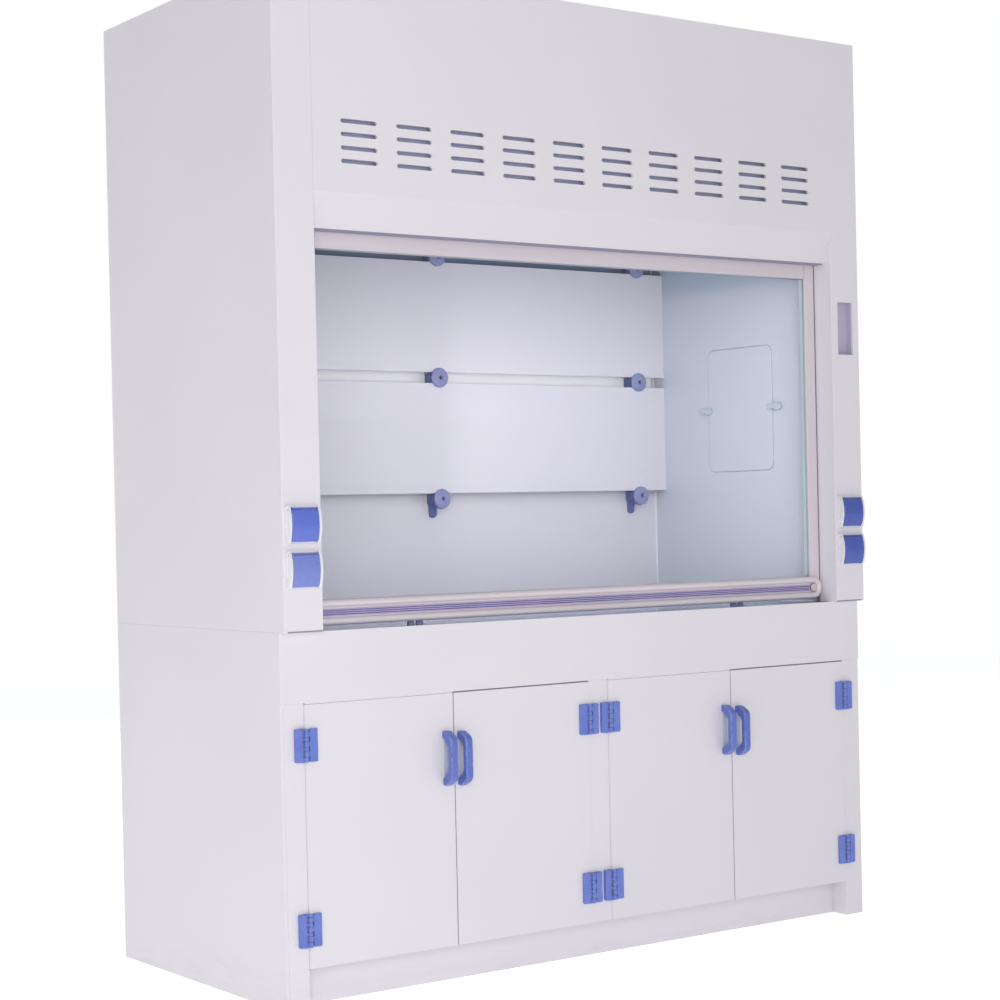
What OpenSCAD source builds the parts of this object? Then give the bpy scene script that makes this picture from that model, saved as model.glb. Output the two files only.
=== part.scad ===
// Walk-up bench fume hood: base cabinet with four doors, glazed rising sash, baffled chamber.
// Millimetres. +Z up, front towards -Y, origin on the floor at the middle of the outer box.

/* [Overall] */
// outside width of the cabinet
body_w = 1800; // [1200:100:2100]
// top of the base cabinet and of the worktop
bench_z = 850; // [720:10:950]
// height of the cabinet roof
roof_z = 2350; // [2100:10:2600]
// front face of the upper cabinet
front_y = -414; // [-460:1:-380]
// front face of the apron and the doors
bench_y = -389; // [-440:1:-360]
// outer face of the back panels
back_y = 436; // [380:1:480]
// thickness of the outer and inner panels
wall = 8; // [5:1:12]

/* [Base cabinet] */
// bottom edge of the apron
apron_z = 690; // [600:5:760]
// height of the toe kick
toe_h = 92; // [60:1:120]
// how far the toe kick stands back from the apron face
toe_back = 55; // [30:1:90]
// width of each side post
post_w = 60; // [40:1:90]
// width of one door
door_w = 402; // [250:1:500]
// thickness of one door
door_t = 18; // [8:1:25]
// thickness of the worktop slab
worktop_t = 30; // [16:1:40]

/* [Hinges and handles] */
// height of one hinge
hinge_h = 75; // [50:1:100]
// length of the hinge leaf on the door from the pin
leaf_w = 30; // [20:1:45]
// length of the hinge leaf on the post from the pin
frame_leaf_w = 27; // [20:1:45]
// radius of the hinge knuckles
knuckle_r = 5.5; // [4:0.1:8]
// radius of the hinge pin
pin_r = 2.5; // [1.5:0.1:4]
// height of a door handle
handle_h = 128; // [90:1:180]
// how far a handle stands out
handle_d = 38; // [25:1:50]
// width of a handle's grip
handle_w = 20; // [16:1:34]
// distance of a handle's middle from the gap between two doors
handle_off = 24; // [20:1:60]

/* [Columns and fascia] */
// width of each front column
column_w = 100; // [70:1:140]
// bottom edge of the fascia
fascia_z = 1759; // [1650:1:1900]
// height where the fascia bends back
bend_z = 1838; // [1700:1:1950]
// length of one vent slot
slot_l = 97; // [40:1:120]
// height of one vent slot
slot_h = 10; // [4:0.5:14]
// number of vent slots side by side
slot_n = 10; // [4:1:14]
// number of vent rows
slot_rows = 4; // [1:1:6]
// distance between neighbouring vents
slot_pitch = 150.3; // [100:0.1:200]

/* [Sash] */
// front plane of the sash frame
sash_y = -351; // [-370:1:-330]
// depth of the sash frame
sash_t = 22; // [16:1:30]
// lowest edge of the closed sash
sash_z0 = 864; // [855:1:900]
// top edge of the closed sash
sash_z1 = 1785; // [1700:1:1850]
// visible width of a sash stile
stile_w = 34; // [20:1:50]
// thickness of the sash glass
glass_t = 6; // [4:1:8]
// height of the handle bar
bar_h = 60; // [30:1:70]
// radius of the pulley at the rope's middle
pulley_r = 45; // [30:1:60]
// radius of the sash rope
rope_r = 2; // [1:0.5:3]

/* [Chamber] */
// underside of the ceiling
ceiling_z = 1850; // [1800:1:2000]
// front face of the baffle panels
baffle_y = 287; // [250:1:320]
// front face of the back liner
liner_y = 336; // [300:1:380]
// height of one baffle panel
baffle_h = 300; // [200:1:400]
// gap between two baffle panels
baffle_gap = 30; // [15:1:50]
// height of the lowest row of baffle knobs
knob_z = 1151; // [1000:1:1300]
// sideways distance of the outer knobs from the middle
knob_x = 700; // [500:1:760]
// radius of a baffle knob
knob_r = 27; // [15:1:35]
// radius of the exhaust collar
collar_r = 125; // [80:5:160]
// height of the exhaust collar above the roof
collar_h = 60; // [40:5:100]

/* [Hidden] */
$fn = 64;

half = body_w / 2;
inner = half - wall;
bay = half - column_w;
post_y = bench_y + wall;
post_front = bench_y + 3;
toe_y = bench_y + toe_back;
deck_z = toe_h + door_t;
worktop_z = bench_z - worktop_t;
door_z1 = apron_z - 3;
door_gap = 1.5;
outer_axis_x = half - post_w;
inner_axis_x = 30.5;
hinge_y = bench_y - 6.5;
hinge_zs = [142, 558];
hinge_gap = 0.6;
knuckle_zs = [0, 12, 25, 34, 47, 56, 69, 75];
run_gap = 0.06;
leaf_x = 9.5;
leaf_front = 0;
handle_z = 471.5;
handle_in = [0, 6.5, 0, 1.5];
handle_down = [0, 3, 0, 5];
// half of a handle's outline, outer then inner, from its end: depth and height
handle_outer = [[0, 0], [-0.32, 0], [-0.8, 10], [-0.95, 16], [-1, 24]];
handle_inner = [[-0.63, 38], [-0.53, 30], [-0.16, 18], [0.1, 17]];
door_axes = [-outer_axis_x, -inner_axis_x, inner_axis_x, outer_axis_x];
// the hinge pins; the centre pair stands a little outside the door gaps
pin_xs = [-outer_axis_x, -inner_axis_x - 2.5, inner_axis_x + 1.5, outer_axis_x];
door_dirs = [1, -1, 1, -1];
slot_zs = [1911, 1941, 1972, 2002];
cut_x0 = 824;
cut_x1 = 879;
cut_z0 = 1514;
cut_z1 = 1654;
pocket_d = 24;
bend_in = 25;
guide_w = 12;
tongue_gap = 1;
tongue_t = 10;
tongue_y = sash_y + sash_t / 2 - tongue_t / 2;
sash_x = bay - 3;
rope_x = 838;
rope_y = tongue_y + tongue_t / 2;
axle_y = rope_y + pulley_r;
axle_z = 2285;
back_rope_y = axle_y + pulley_r;
axle_r = 6;
ear_z = 1720;
weight_z0 = 1580;
weight_h = 610;
weight_w = 54;
weight_d = 76;
ferrule_h = 20;
rail_r = 9;
bar_z = sash_z0 + bar_h / 2 - 4.5;
bar_x = sash_x - bar_h / 2;
bar_y = sash_y - 5;
plug_r = 11;
socket_x = 850;
socket_zs = [991, 1092];
socket_w = 86;
cup_r = 20;
lid_w = 68;
lid_h = 78;
lid_r = 105;
lid_back = 7;
lid_proud = 22;
cheek_x = 34.8;
cheek_proud = 19;
lid_pin_z = 33;
lid_pin_y = front_y - 11.5;
barrel_r = 4.3;
lid_pin_r = 2;
cover_w = 263;
cover_h = 345;
cover_y = -43.5;
cover_z = 1385.5;
cover_t = 3;
latch_off = 11;
latch_l = 56;
latch_w = 20;
latch_t = 5;
boss_r = 7.5;
boss_t = 4;
latch_pin_r = 3;
light_w = 1200;
light_d = 120;
light_y = -160;
collar_y = 197;
collar_wall = 4;
plenum_y = 50;
plenum_x = 792;
path_y = 290;
bumper_x = 506;
white = [0.86, 0.86, 0.88];
blue = [0.36, 0.42, 0.72];

// ---------------------------------------------------------------- helpers
module block(x0, x1, y0, y1, z0, z1) {
    translate([x0, y0, z0]) cube([x1 - x0, y1 - y0, z1 - z0]);
}

module both() {
    children();
    mirror([1, 0, 0]) children();
}

module rounded(w, h, r) {
    square([w - 2 * r, h], center = true);
    square([w, h - 2 * r], center = true);
    for (x = [-1, 1], y = [-1, 1]) translate([x * (w / 2 - r), y * (h / 2 - r)]) circle(r);
}

module stadium(l, h) {
    square([l - h, h], center = true);
    for (x = [-1, 1]) translate([x * (l - h) / 2, 0]) circle(h / 2);
}

// a flat drawing in X and Z, given the thickness y0..y1
module slab_y(y0, y1) {
    translate([0, y1, 0]) rotate([90, 0, 0]) linear_extrude(y1 - y0) children();
}

// a flat drawing in Y and Z, given the thickness x0..x1
module slab_x(x0, x1) {
    translate([x0, 0, 0]) rotate([90, 0, 90]) linear_extrude(x1 - x0) children();
}

module rod_x(x0, x1, r) {
    translate([x0, 0, 0]) rotate([0, 90, 0]) cylinder(r = r, h = x1 - x0);
}

// ---------------------------------------------------------------- base cabinet
module base_sides() color(white) both() {
    block(inner, half, post_y, back_y - wall, 0, bench_z);
    block(inner, half, post_front, post_y, 0, apron_z);
}

module base_back() color(white) block(-half, half, back_y - wall, back_y, 0, bench_z);

module base_deck() color(white) {
    block(-inner, inner, bench_y + door_t + 2, back_y - wall, toe_h, deck_z);
}

module toe_kick() color([0.7, 0.7, 0.74]) {
    block(-outer_axis_x, outer_axis_x, toe_y, toe_y + wall, 0, toe_h);
}

module side_post() {
    difference() {
        union() {
            block(outer_axis_x, inner, post_y, toe_y + wall, 0, worktop_z);
            block(outer_axis_x, inner, post_front, post_y, 0, apron_z);
        }
        block(outer_axis_x + wall, inner + 1, post_y + wall, toe_y + wall + 1, -1, bench_z);
        block(0, outer_axis_x + wall + 1, bench_y + door_t + 2, back_y, toe_h, deck_z);
    }
}

module base_posts() color(white) {
    both() side_post();
    block(-inner_axis_x + 1, inner_axis_x - 1, post_y, bench_y + door_t + 2, toe_h, worktop_z);
    block(-inner_axis_x + 1, inner_axis_x - 1, post_front, post_y, toe_h, apron_z);
}

module apron() color(white) block(-half, half, bench_y, post_y, apron_z, bench_z);

module worktop() color([0.5, 0.54, 0.64]) {
    block(-inner, inner, post_y, back_y - wall, worktop_z, bench_z);
}

// ---------------------------------------------------------------- doors, hinges, handles
// door i between its hinge edge and its free edge
module door(i) {
    x0 = door_axes[i] + door_dirs[i] * door_gap;
    x1 = x0 + door_dirs[i] * door_w;
    block(min(x0, x1), max(x0, x1), bench_y, bench_y + door_t, toe_h, door_z1);
}

// children drawn at each hinge of door i, with the door towards +X
module at_hinges(i) {
    for (z = hinge_zs) translate([pin_xs[i], hinge_y, z])
        mirror([door_dirs[i] < 0 ? 1 : 0, 0, 0]) children();
}

// every second knuckle from the given one, with its web towards the leaf
module knuckles(first, web_x) {
    for (k = [first : 2 : len(knuckle_zs) - 2]) {
        z0 = knuckle_zs[k] + (k == 0 ? 0 : hinge_gap / 2);
        z1 = knuckle_zs[k + 1] - (k == len(knuckle_zs) - 2 ? 0 : hinge_gap / 2);
        translate([0, 0, z0]) cylinder(r = knuckle_r, h = z1 - z0);
        block(min(0, web_x), max(0, web_x), 1, knuckle_r, z0, z1);
    }
}

// the left leaf always has the outer knuckles, whichever side the door is on
module frame_leaf(first) {
    knuckles(first, -leaf_x - 4);
    translate([0, 0, hinge_h / 2]) slab_y(leaf_front, post_front - hinge_y)
        translate([-(frame_leaf_w + leaf_x) / 2, 0]) rounded(frame_leaf_w - leaf_x, hinge_h, 3);
    cylinder(r = pin_r, h = hinge_h);
}

module door_leaf(first) {
    difference() {
        union() {
            knuckles(first, leaf_x + 4);
            translate([0, 0, hinge_h / 2]) slab_y(leaf_front, bench_y - hinge_y)
                translate([(leaf_w + leaf_x) / 2, 0]) rounded(leaf_w - leaf_x, hinge_h, 3);
        }
        translate([0, 0, -1]) cylinder(r = pin_r + run_gap, h = hinge_h + 2);
    }
}

module hinge_frame_leaves() color(blue) for (i = [0 : 3])
    at_hinges(i) frame_leaf(door_dirs[i] > 0 ? 0 : 1);

module door_leaves(i) color(blue) at_hinges(i) door_leaf(door_dirs[i] > 0 ? 1 : 0);

// one half of the handle's outline, at its lower or upper end
function handle_half(points, up) = [for (p = points) [p[0] * handle_d, up ? handle_h - p[1] : p[1]]];

// drawn in Y and Z from the door face outwards
module handle_side() {
    low = handle_half(handle_outer, false);
    high = [for (k = [len(handle_outer) - 1 : -1 : 0]) handle_half(handle_outer, true)[k]];
    low_in = [for (k = [len(handle_inner) - 1 : -1 : 0]) handle_half(handle_inner, false)[k]];
    difference() {
        polygon(concat(low, high));
        polygon(concat(low_in, handle_half(handle_inner, true)));
    }
}

module door_handle(i) color(blue) {
    free_x = door_axes[i] + door_dirs[i] * (door_w + door_gap);
    mid = free_x - door_dirs[i] * (handle_off - 1 - handle_in[i]);
    translate([0, bench_y, handle_z - handle_down[i]])
        slab_x(mid - handle_w / 2, mid + handle_w / 2) handle_side();
}

// ---------------------------------------------------------------- upper cabinet
module upper_sides() color(white) {
    both() block(inner, half, front_y + wall, back_y - wall, bench_z, roof_z);
}

module upper_back() color(white) block(-half, half, back_y - wall, back_y, bench_z, roof_z);

module roof() color(white) difference() {
    block(-inner, inner, front_y + wall, back_y - wall, roof_z - wall, roof_z);
    translate([0, collar_y, roof_z - wall - 1]) cylinder(r = collar_r, h = wall + 2);
}

module exhaust_collar() color(white) translate([0, collar_y, 0]) difference() {
    union() {
        translate([0, 0, roof_z - wall]) cylinder(r = collar_r, h = wall + collar_h);
        translate([0, 0, roof_z]) cylinder(r = collar_r + 25, h = collar_wall);
    }
    translate([0, 0, roof_z - wall - 1]) cylinder(r = collar_r - collar_wall, h = wall + collar_h + 2);
}

// the right-hand column's plates
module column() {
    difference() {
        block(bay, half, front_y, front_y + wall, bench_z, roof_z);
        for (z = socket_zs) translate([socket_x, front_y - 1, z]) rotate([-90, 0, 0])
            cylinder(r = cup_r + 4, h = wall + 2);
    }
    block(bay, bay + wall, front_y + wall, sash_y, bench_z, roof_z - wall);
    block(bay + wall, inner, front_y + wall, sash_y, bench_z, bench_z + wall);
}

module left_column() color(white) mirror([1, 0, 0]) column();

module right_column() color(white) difference() {
    column();
    block(cut_x0, cut_x1, front_y - 1, front_y + wall + 1, cut_z0, cut_z1);
}

module controller_pocket() color([0.55, 0.52, 0.62]) difference() {
    block(cut_x0 - 3, cut_x1 + 3, front_y + wall, front_y + pocket_d + 3, cut_z0 - 3, cut_z1 + 3);
    block(cut_x0, cut_x1, front_y + wall - 1, front_y + pocket_d, cut_z0, cut_z1);
}

module fascia_side() {
    z0 = fascia_z;
    polygon([
        [front_y, bend_z], [front_y + bend_in, z0], [front_y + bend_in + wall, z0],
        [front_y + wall, bend_z], [front_y + wall, roof_z], [front_y, roof_z]
    ]);
}

module fascia() color(white) difference() {
    slab_x(-bay, bay) fascia_side();
    for (r = [0 : slot_rows - 1], i = [0 : slot_n - 1])
        translate([(i - (slot_n - 1) / 2) * slot_pitch, 0, slot_zs[r]])
            slab_y(front_y - 1, front_y + wall + 1) stadium(slot_l, slot_h);
}

// ---------------------------------------------------------------- chamber
module side_liners() color([0.76, 0.77, 0.84]) both() difference() {
    block(bay, bay + wall, tongue_y + tongue_t + tongue_gap + wall, liner_y, bench_z, ceiling_z);
    translate([0, cover_y, cover_z]) slab_x(bay - 1, bay + wall + 1) rounded(cover_w - 32, cover_h - 32, 12);
    for (s = [-1, 1]) translate([0, cover_y + s * (cover_w / 2 + latch_off), cover_z + 1.5])
        rod_x(bay - 1, bay + wall + 1, latch_pin_r + run_gap);
}

module back_liner() color([0.78, 0.78, 0.84]) {
    block(-bay - wall, bay + wall, liner_y, liner_y + wall, bench_z, roof_z - wall);
}

module ceiling_liner() color([0.76, 0.77, 0.84]) difference() {
    block(-bay - wall, bay + wall, tongue_y + tongue_t + tongue_gap + wall, path_y, ceiling_z, ceiling_z + wall);
    block(-light_w / 2, light_w / 2, light_y - light_d / 2, light_y + light_d / 2, ceiling_z - 1,
        ceiling_z + wall + 1);
}

module exhaust_plenum() color([0.76, 0.77, 0.84]) {
    block(-plenum_x, plenum_x, plenum_y, plenum_y + wall, ceiling_z + wall, roof_z - wall);
    both() block(plenum_x - wall, plenum_x, plenum_y + wall, liner_y, ceiling_z + wall, roof_z - wall);
}

module light_lens() color([0.9, 0.92, 0.95]) {
    block(-light_w / 2, light_w / 2, light_y - light_d / 2, light_y + light_d / 2, ceiling_z - 2,
        ceiling_z + wall);
}

module light_fitting() color([0.8, 0.8, 0.82]) translate([0, light_y, ceiling_z + wall]) difference() {
    block(-light_w / 2 - 20, light_w / 2 + 20, -light_d / 2 - 15, light_d / 2 + 15, 0, 70);
    block(-light_w / 2 - 17, light_w / 2 + 17, -light_d / 2 - 12, light_d / 2 + 12, -1, 67);
}

module baffle_panels() color([0.8, 0.79, 0.85]) for (k = [0, 1]) {
    z0 = knob_z + baffle_gap / 2 + k * (baffle_h + baffle_gap);
    block(-bay, bay, baffle_y, baffle_y + wall, z0, z0 + baffle_h);
}

module at_knobs() {
    for (x = [-knob_x, 0, knob_x], k = [0 : 2])
        translate([x, 0, knob_z + k * (baffle_h + baffle_gap)]) children();
}

module baffle_brackets() color([0.34, 0.36, 0.56]) {
    half_w = 16.5;
    tab_t = 8;
    tab_end = 11.5;
    tab_drop = 40;
    at_knobs() {
        block(-half_w, half_w, baffle_y, liner_y, -13, 13);
        slab_y(baffle_y + wall, baffle_y + wall + 5) circle(knob_r - 1);
    }
    for (x = [-knob_x, 0, knob_x]) translate([x, 0, knob_z]) {
        slab_y(liner_y - tab_t, liner_y) {
            polygon([[-half_w, 13], [-tab_end, -tab_drop], [tab_end, -tab_drop], [half_w, 13]]);
            translate([0, -tab_drop]) circle(tab_end);
        }
        slab_y(baffle_y, baffle_y + 5) translate([0, -8]) circle(20);
    }
}

module baffle_knobs() color([0.5, 0.52, 0.72]) at_knobs()
    translate([0, baffle_y, 0]) rotate([90, 0, 0]) rotate_extrude()
        polygon([[6, 0], [knob_r, 0], [knob_r, 5], [knob_r - 2, 7], [9, 11], [6, 11]]);

module inspection_covers() color([0.84, 0.86, 0.9]) both() translate([0, cover_y, cover_z])
    slab_x(bay - cover_t, bay) rounded(cover_w, cover_h, 22);

// side 1 or -1 for the wall, end 1 or -1 for the rear or front latch
module window_latch(side, end) color([0.92, 0.92, 0.94]) mirror([side < 0 ? 1 : 0, 0, 0])
    translate([0, cover_y + end * (cover_w / 2 + latch_off), cover_z + 1.5]) {
        slab_x(bay - cover_t - latch_t, bay - cover_t) stadium(latch_l, latch_w);
        rod_x(bay - cover_t, bay, boss_r);
        rod_x(bay - cover_t - latch_t - boss_t, bay - cover_t - latch_t, boss_r);
        rod_x(bay, bay + wall, latch_pin_r);
    }

// ---------------------------------------------------------------- sash and its gear
module sash_guides() color([0.7, 0.7, 0.72]) both() {
    block(bay, bay + guide_w, sash_y, tongue_y - tongue_gap, bench_z, roof_z - 50);
    back = tongue_y + tongue_t + tongue_gap;
    block(bay, bay + guide_w, back, back + wall, bench_z, roof_z - 50);
}

module sash_frame() color([0.78, 0.73, 0.77]) {
    glass_y = sash_y + sash_t / 2 - glass_t / 2;
    sight = sash_x - stile_w;
    difference() {
        block(-sash_x, sash_x, sash_y, sash_y + sash_t, sash_z0, sash_z1);
        block(-sight, sight, sash_y - 1, sash_y + sash_t + 1, sash_z0 + bar_h - 6, ear_z);
        block(-sight - 8, sight + 8, glass_y, glass_y + glass_t, sash_z0 + bar_h - 14, ear_z + 8);
    }
    both() {
        block(sash_x, bay + guide_w + 4, tongue_y, tongue_y + tongue_t, sash_z0, sash_z1);
        block(bay + guide_w + 4, rope_x + 10, tongue_y, tongue_y + tongue_t, ear_z - 30, ear_z);
    }
}

module sash_glass() color([0.75, 0.85, 0.88, 0.35]) {
    glass_y = sash_y + sash_t / 2 - glass_t / 2;
    edge = sash_x - stile_w + 8;
    block(-edge, edge, glass_y, glass_y + glass_t, sash_z0 + bar_h - 14, ear_z + 8);
}

module bar_rail(z) {
    translate([0, bar_y, z]) rod_x(-bar_x, bar_x, rail_r);
}

module sash_handle_bar() color([0.78, 0.73, 0.77]) {
    rail_off = bar_h / 2 - rail_r;
    difference() {
        union() {
            translate([0, 0, bar_z]) slab_y(bar_y, sash_y) stadium(2 * bar_x + 2 * rail_off + rail_r, bar_h - 4);
            bar_rail(bar_z + rail_off);
            bar_rail(bar_z - rail_off);
            for (s = [0, 180]) translate([(s == 0 ? 1 : -1) * bar_x, bar_y, bar_z])
                rotate([90, s, 0]) rotate([0, 0, -90]) rotate_extrude(angle = 180)
                    translate([rail_off, 0]) circle(rail_r);
        }
        block(-half, half, sash_y, 0, 0, roof_z);
    }
}

module sash_handle_inlay() color([0.55, 0.5, 0.72]) {
    block(-bar_x + 14, bar_x - 14, bar_y - 3, bar_y, bar_z - 9, bar_z + 9);
    for (k = [-1.5 : 1 : 1.5]) translate([0, bar_y - 3, bar_z + k * 4.6])
        rod_x(-bar_x + 14, bar_x - 14, 1.6);
}

module sash_end_plugs() color([0.8, 0.77, 0.78]) both() translate([bar_x, bar_y, bar_z])
    rotate([90, 0, 0]) rotate_extrude() polygon([[0, 0], [plug_r, 0], [plug_r, 5], [plug_r - 1, 6], [0, 6]]);

module sash_bumpers() color([0.2, 0.18, 0.3]) both() translate([bumper_x, rope_y, bench_z])
    for (s = [-12, 12]) translate([s, 0, 0]) rotate_extrude()
        polygon([[0, 0], [9, 0], [9, 3], [6, 13.5], [0, 13.5]]);

module counterweights() color([0.3, 0.3, 0.32]) both() {
    block(rope_x - weight_w / 2, rope_x + weight_w / 2, back_rope_y - weight_d / 2, back_rope_y + weight_d / 2,
        weight_z0, weight_z0 + weight_h);
    translate([rope_x, back_rope_y, weight_z0 + weight_h]) cylinder(r = 5, h = ferrule_h);
}

module pulleys() color([0.85, 0.85, 0.83]) both() translate([rope_x, axle_y, axle_z])
    rotate([0, 90, 0]) rotate_extrude() polygon([
        [axle_r + run_gap, -7], [14, -7], [14, -5], [36, -5], [36, -7], [50, -7], [50, -5],
        [pulley_r - 2.1, -2], [pulley_r - 2.1, 2], [50, 5], [50, 7], [36, 7], [36, 5],
        [14, 5], [14, 7], [axle_r + run_gap, 7]
    ]);

module pulley_brackets() color([0.62, 0.63, 0.66]) both() translate([0, axle_y, axle_z]) {
    block(inner - 6, inner, -40, 40, -40, 40);
    rod_x(rope_x - 11, inner - 6, axle_r);
    rod_x(rope_x + 8, inner - 6, 10);
    rod_x(rope_x - 11, rope_x - 8, 10);
}

module sash_cables() color([0.6, 0.62, 0.65]) both()
    translate([rope_x, rope_y, ear_z]) cylinder(r = rope_r, h = axle_z - ear_z);

module counterweight_cables() color([0.6, 0.62, 0.65]) both()
    translate([rope_x, back_rope_y, weight_z0 + weight_h + ferrule_h])
        cylinder(r = rope_r, h = axle_z - weight_z0 - weight_h - ferrule_h);

module cable_wraps() color([0.6, 0.62, 0.65]) both() translate([rope_x, axle_y, axle_z])
    rotate([90, 0, 90]) rotate_extrude(angle = 180) translate([pulley_r, 0]) circle(rope_r);

// ---------------------------------------------------------------- sockets
// a bulging side outline in Y and Z about the socket's middle on the column face
module bulge(proud, back, down, up) intersection() {
    translate([lid_r - proud, 0]) circle(lid_r, $fn = 128);
    translate([-proud - 1, -down]) square([proud + 1 - back, down + up]);
}

module socket_plate() {
    difference() {
        union() {
            slab_y(-6, 0) rounded(socket_w, socket_w, 7);
            rotate([-90, 0, 0]) cylinder(r = cup_r + 4, h = 30);
            both() slab_x(cheek_x, socket_w / 2 - 1) bulge(cheek_proud, 5, socket_w / 2 - 1, socket_w / 2 - 1);
        }
        translate([0, -7, 0]) rotate([-90, 0, 0]) cylinder(r = cup_r, h = 32);
        translate([-half, lid_pin_y - front_y, lid_pin_z]) rod_x(0, body_w, lid_pin_r + run_gap);
    }
}

module socket_plates() color([0.88, 0.88, 0.9]) both() for (z = socket_zs)
    translate([socket_x, front_y, z]) socket_plate();

module lid_side() {
    difference() {
        bulge(lid_proud, lid_back, lid_h / 2, lid_pin_z);
        translate([-lid_back - 2.5, -lid_h / 2 + 4]) square([3, lid_h - 20]);
    }
    translate([lid_pin_y - front_y, lid_pin_z]) circle(barrel_r);
}

module socket_lid(side, k) color(blue) translate([side * socket_x, front_y, socket_zs[k]]) {
    intersection() {
        slab_x(-lid_w / 2, lid_w / 2) lid_side();
        slab_y(-30, 0) rounded(lid_w, lid_h, 7);
    }
    translate([0, lid_pin_y - front_y, lid_pin_z]) rod_x(-lid_w / 2 - 4, lid_w / 2 + 4, lid_pin_r);
}

// ---------------------------------------------------------------- pieces
base_sides();
base_back();
base_deck();
toe_kick();
base_posts();
apron();
worktop();
upper_sides();
upper_back();
roof();
exhaust_collar();
left_column();
right_column();
fascia();
side_liners();
back_liner();
ceiling_liner();
exhaust_plenum();
light_fitting();
light_lens();
baffle_panels();
baffle_brackets();
baffle_knobs();
inspection_covers();
controller_pocket();
sash_guides();
sash_bumpers();
pulley_brackets();
sash_cables();
counterweight_cables();
cable_wraps();
socket_plates();
hinge_frame_leaves();
sash_frame();
sash_glass();
sash_handle_bar();
sash_handle_inlay();
sash_end_plugs();
counterweights();
pulleys();
color(white) door(0);  // door_1
color(white) door(1);  // door_2
color(white) door(2);  // door_3
color(white) door(3);  // door_4
door_handle(0);  // door_handle_1
door_handle(1);  // door_handle_2
door_handle(2);  // door_handle_3
door_handle(3);  // door_handle_4
door_leaves(0);  // door_leaves_1
door_leaves(1);  // door_leaves_2
door_leaves(2);  // door_leaves_3
door_leaves(3);  // door_leaves_4
socket_lid(-1, 1);  // socket_lid_1
socket_lid(-1, 0);  // socket_lid_2
socket_lid(1, 1);  // socket_lid_3
socket_lid(1, 0);  // socket_lid_4
window_latch(-1, -1);  // window_latch_1
window_latch(-1, 1);  // window_latch_2
window_latch(1, -1);  // window_latch_3
window_latch(1, 1);  // window_latch_4
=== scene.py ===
import math
import random
import bpy
import bmesh
from mathutils import Matrix, Vector


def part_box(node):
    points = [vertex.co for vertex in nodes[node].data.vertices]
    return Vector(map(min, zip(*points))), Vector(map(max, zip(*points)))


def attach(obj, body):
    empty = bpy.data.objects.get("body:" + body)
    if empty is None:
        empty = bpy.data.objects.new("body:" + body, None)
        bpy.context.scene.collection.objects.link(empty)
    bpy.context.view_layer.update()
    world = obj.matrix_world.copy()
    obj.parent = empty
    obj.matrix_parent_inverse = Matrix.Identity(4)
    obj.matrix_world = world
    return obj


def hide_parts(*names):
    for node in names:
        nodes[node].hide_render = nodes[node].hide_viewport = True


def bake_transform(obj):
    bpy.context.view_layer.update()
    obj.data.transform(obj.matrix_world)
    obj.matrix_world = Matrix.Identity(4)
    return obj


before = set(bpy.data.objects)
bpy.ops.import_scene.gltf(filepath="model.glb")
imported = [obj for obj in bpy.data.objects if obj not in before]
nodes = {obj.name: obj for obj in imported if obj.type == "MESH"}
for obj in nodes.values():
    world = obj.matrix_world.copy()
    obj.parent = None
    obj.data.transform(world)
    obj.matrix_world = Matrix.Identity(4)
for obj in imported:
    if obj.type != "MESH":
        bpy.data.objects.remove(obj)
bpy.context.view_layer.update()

scene = bpy.context.scene
dice = random.Random(31)


# node tree helpers
def linearTone(r, g, b):
    def one(v):
        v = v / 255.0
        return v / 12.92 if v <= 0.04045 else ((v + 0.055) / 1.055) ** 2.4
    return (one(r), one(g), one(b), 1.0)


def newNode(tree, kind, **settings):
    made = tree.nodes.new(kind)
    for name, value in settings.items():
        setattr(made, name, value)
    return made


def feed(tree, value, socket):
    if isinstance(value, bpy.types.NodeSocket):
        tree.links.new(value, socket)
    else:
        socket.default_value = value


def sums(tree, operation, a, b=0.0, c=None, clamp=False):
    made = newNode(tree, "ShaderNodeMath", operation=operation, use_clamp=clamp)
    feed(tree, a, made.inputs[0])
    feed(tree, b, made.inputs[1])
    if c is not None:
        feed(tree, c, made.inputs[2])
    return made.outputs[0]


def fitRange(tree, value, low, high, newLow=0.0, newHigh=1.0, kind="LINEAR"):
    made = newNode(tree, "ShaderNodeMapRange", interpolation_type=kind, clamp=True)
    feed(tree, value, made.inputs["Value"])
    feed(tree, low, made.inputs["From Min"])
    feed(tree, high, made.inputs["From Max"])
    feed(tree, newLow, made.inputs["To Min"])
    feed(tree, newHigh, made.inputs["To Max"])
    return made.outputs["Result"]


def mixColour(tree, factor, first, second):
    made = newNode(tree, "ShaderNodeMix", data_type="RGBA")
    feed(tree, factor, made.inputs["Factor"])
    feed(tree, first, made.inputs[6])  # the colour pair of a mix node is 6 and 7
    feed(tree, second, made.inputs[7])
    return made.outputs[2]


def mottle(tree, place, scale, detail=3.0, rough=0.5):
    made = newNode(tree, "ShaderNodeTexNoise", noise_dimensions="3D")
    feed(tree, place, made.inputs["Vector"])
    feed(tree, scale, made.inputs["Scale"])
    made.inputs["Detail"].default_value = detail
    made.inputs["Roughness"].default_value = rough
    return made.outputs["Fac"]


def restPlace(tree):
    return newNode(tree, "ShaderNodeTexCoord").outputs["Object"]


def apart(tree, vector):
    split = newNode(tree, "ShaderNodeSeparateXYZ")
    feed(tree, vector, split.inputs[0])
    return split.outputs


def stretched(tree, vector, factors):
    made = newNode(tree, "ShaderNodeVectorMath", operation="MULTIPLY")
    feed(tree, vector, made.inputs[0])
    feed(tree, factors, made.inputs[1])
    return made.outputs["Vector"]


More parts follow.
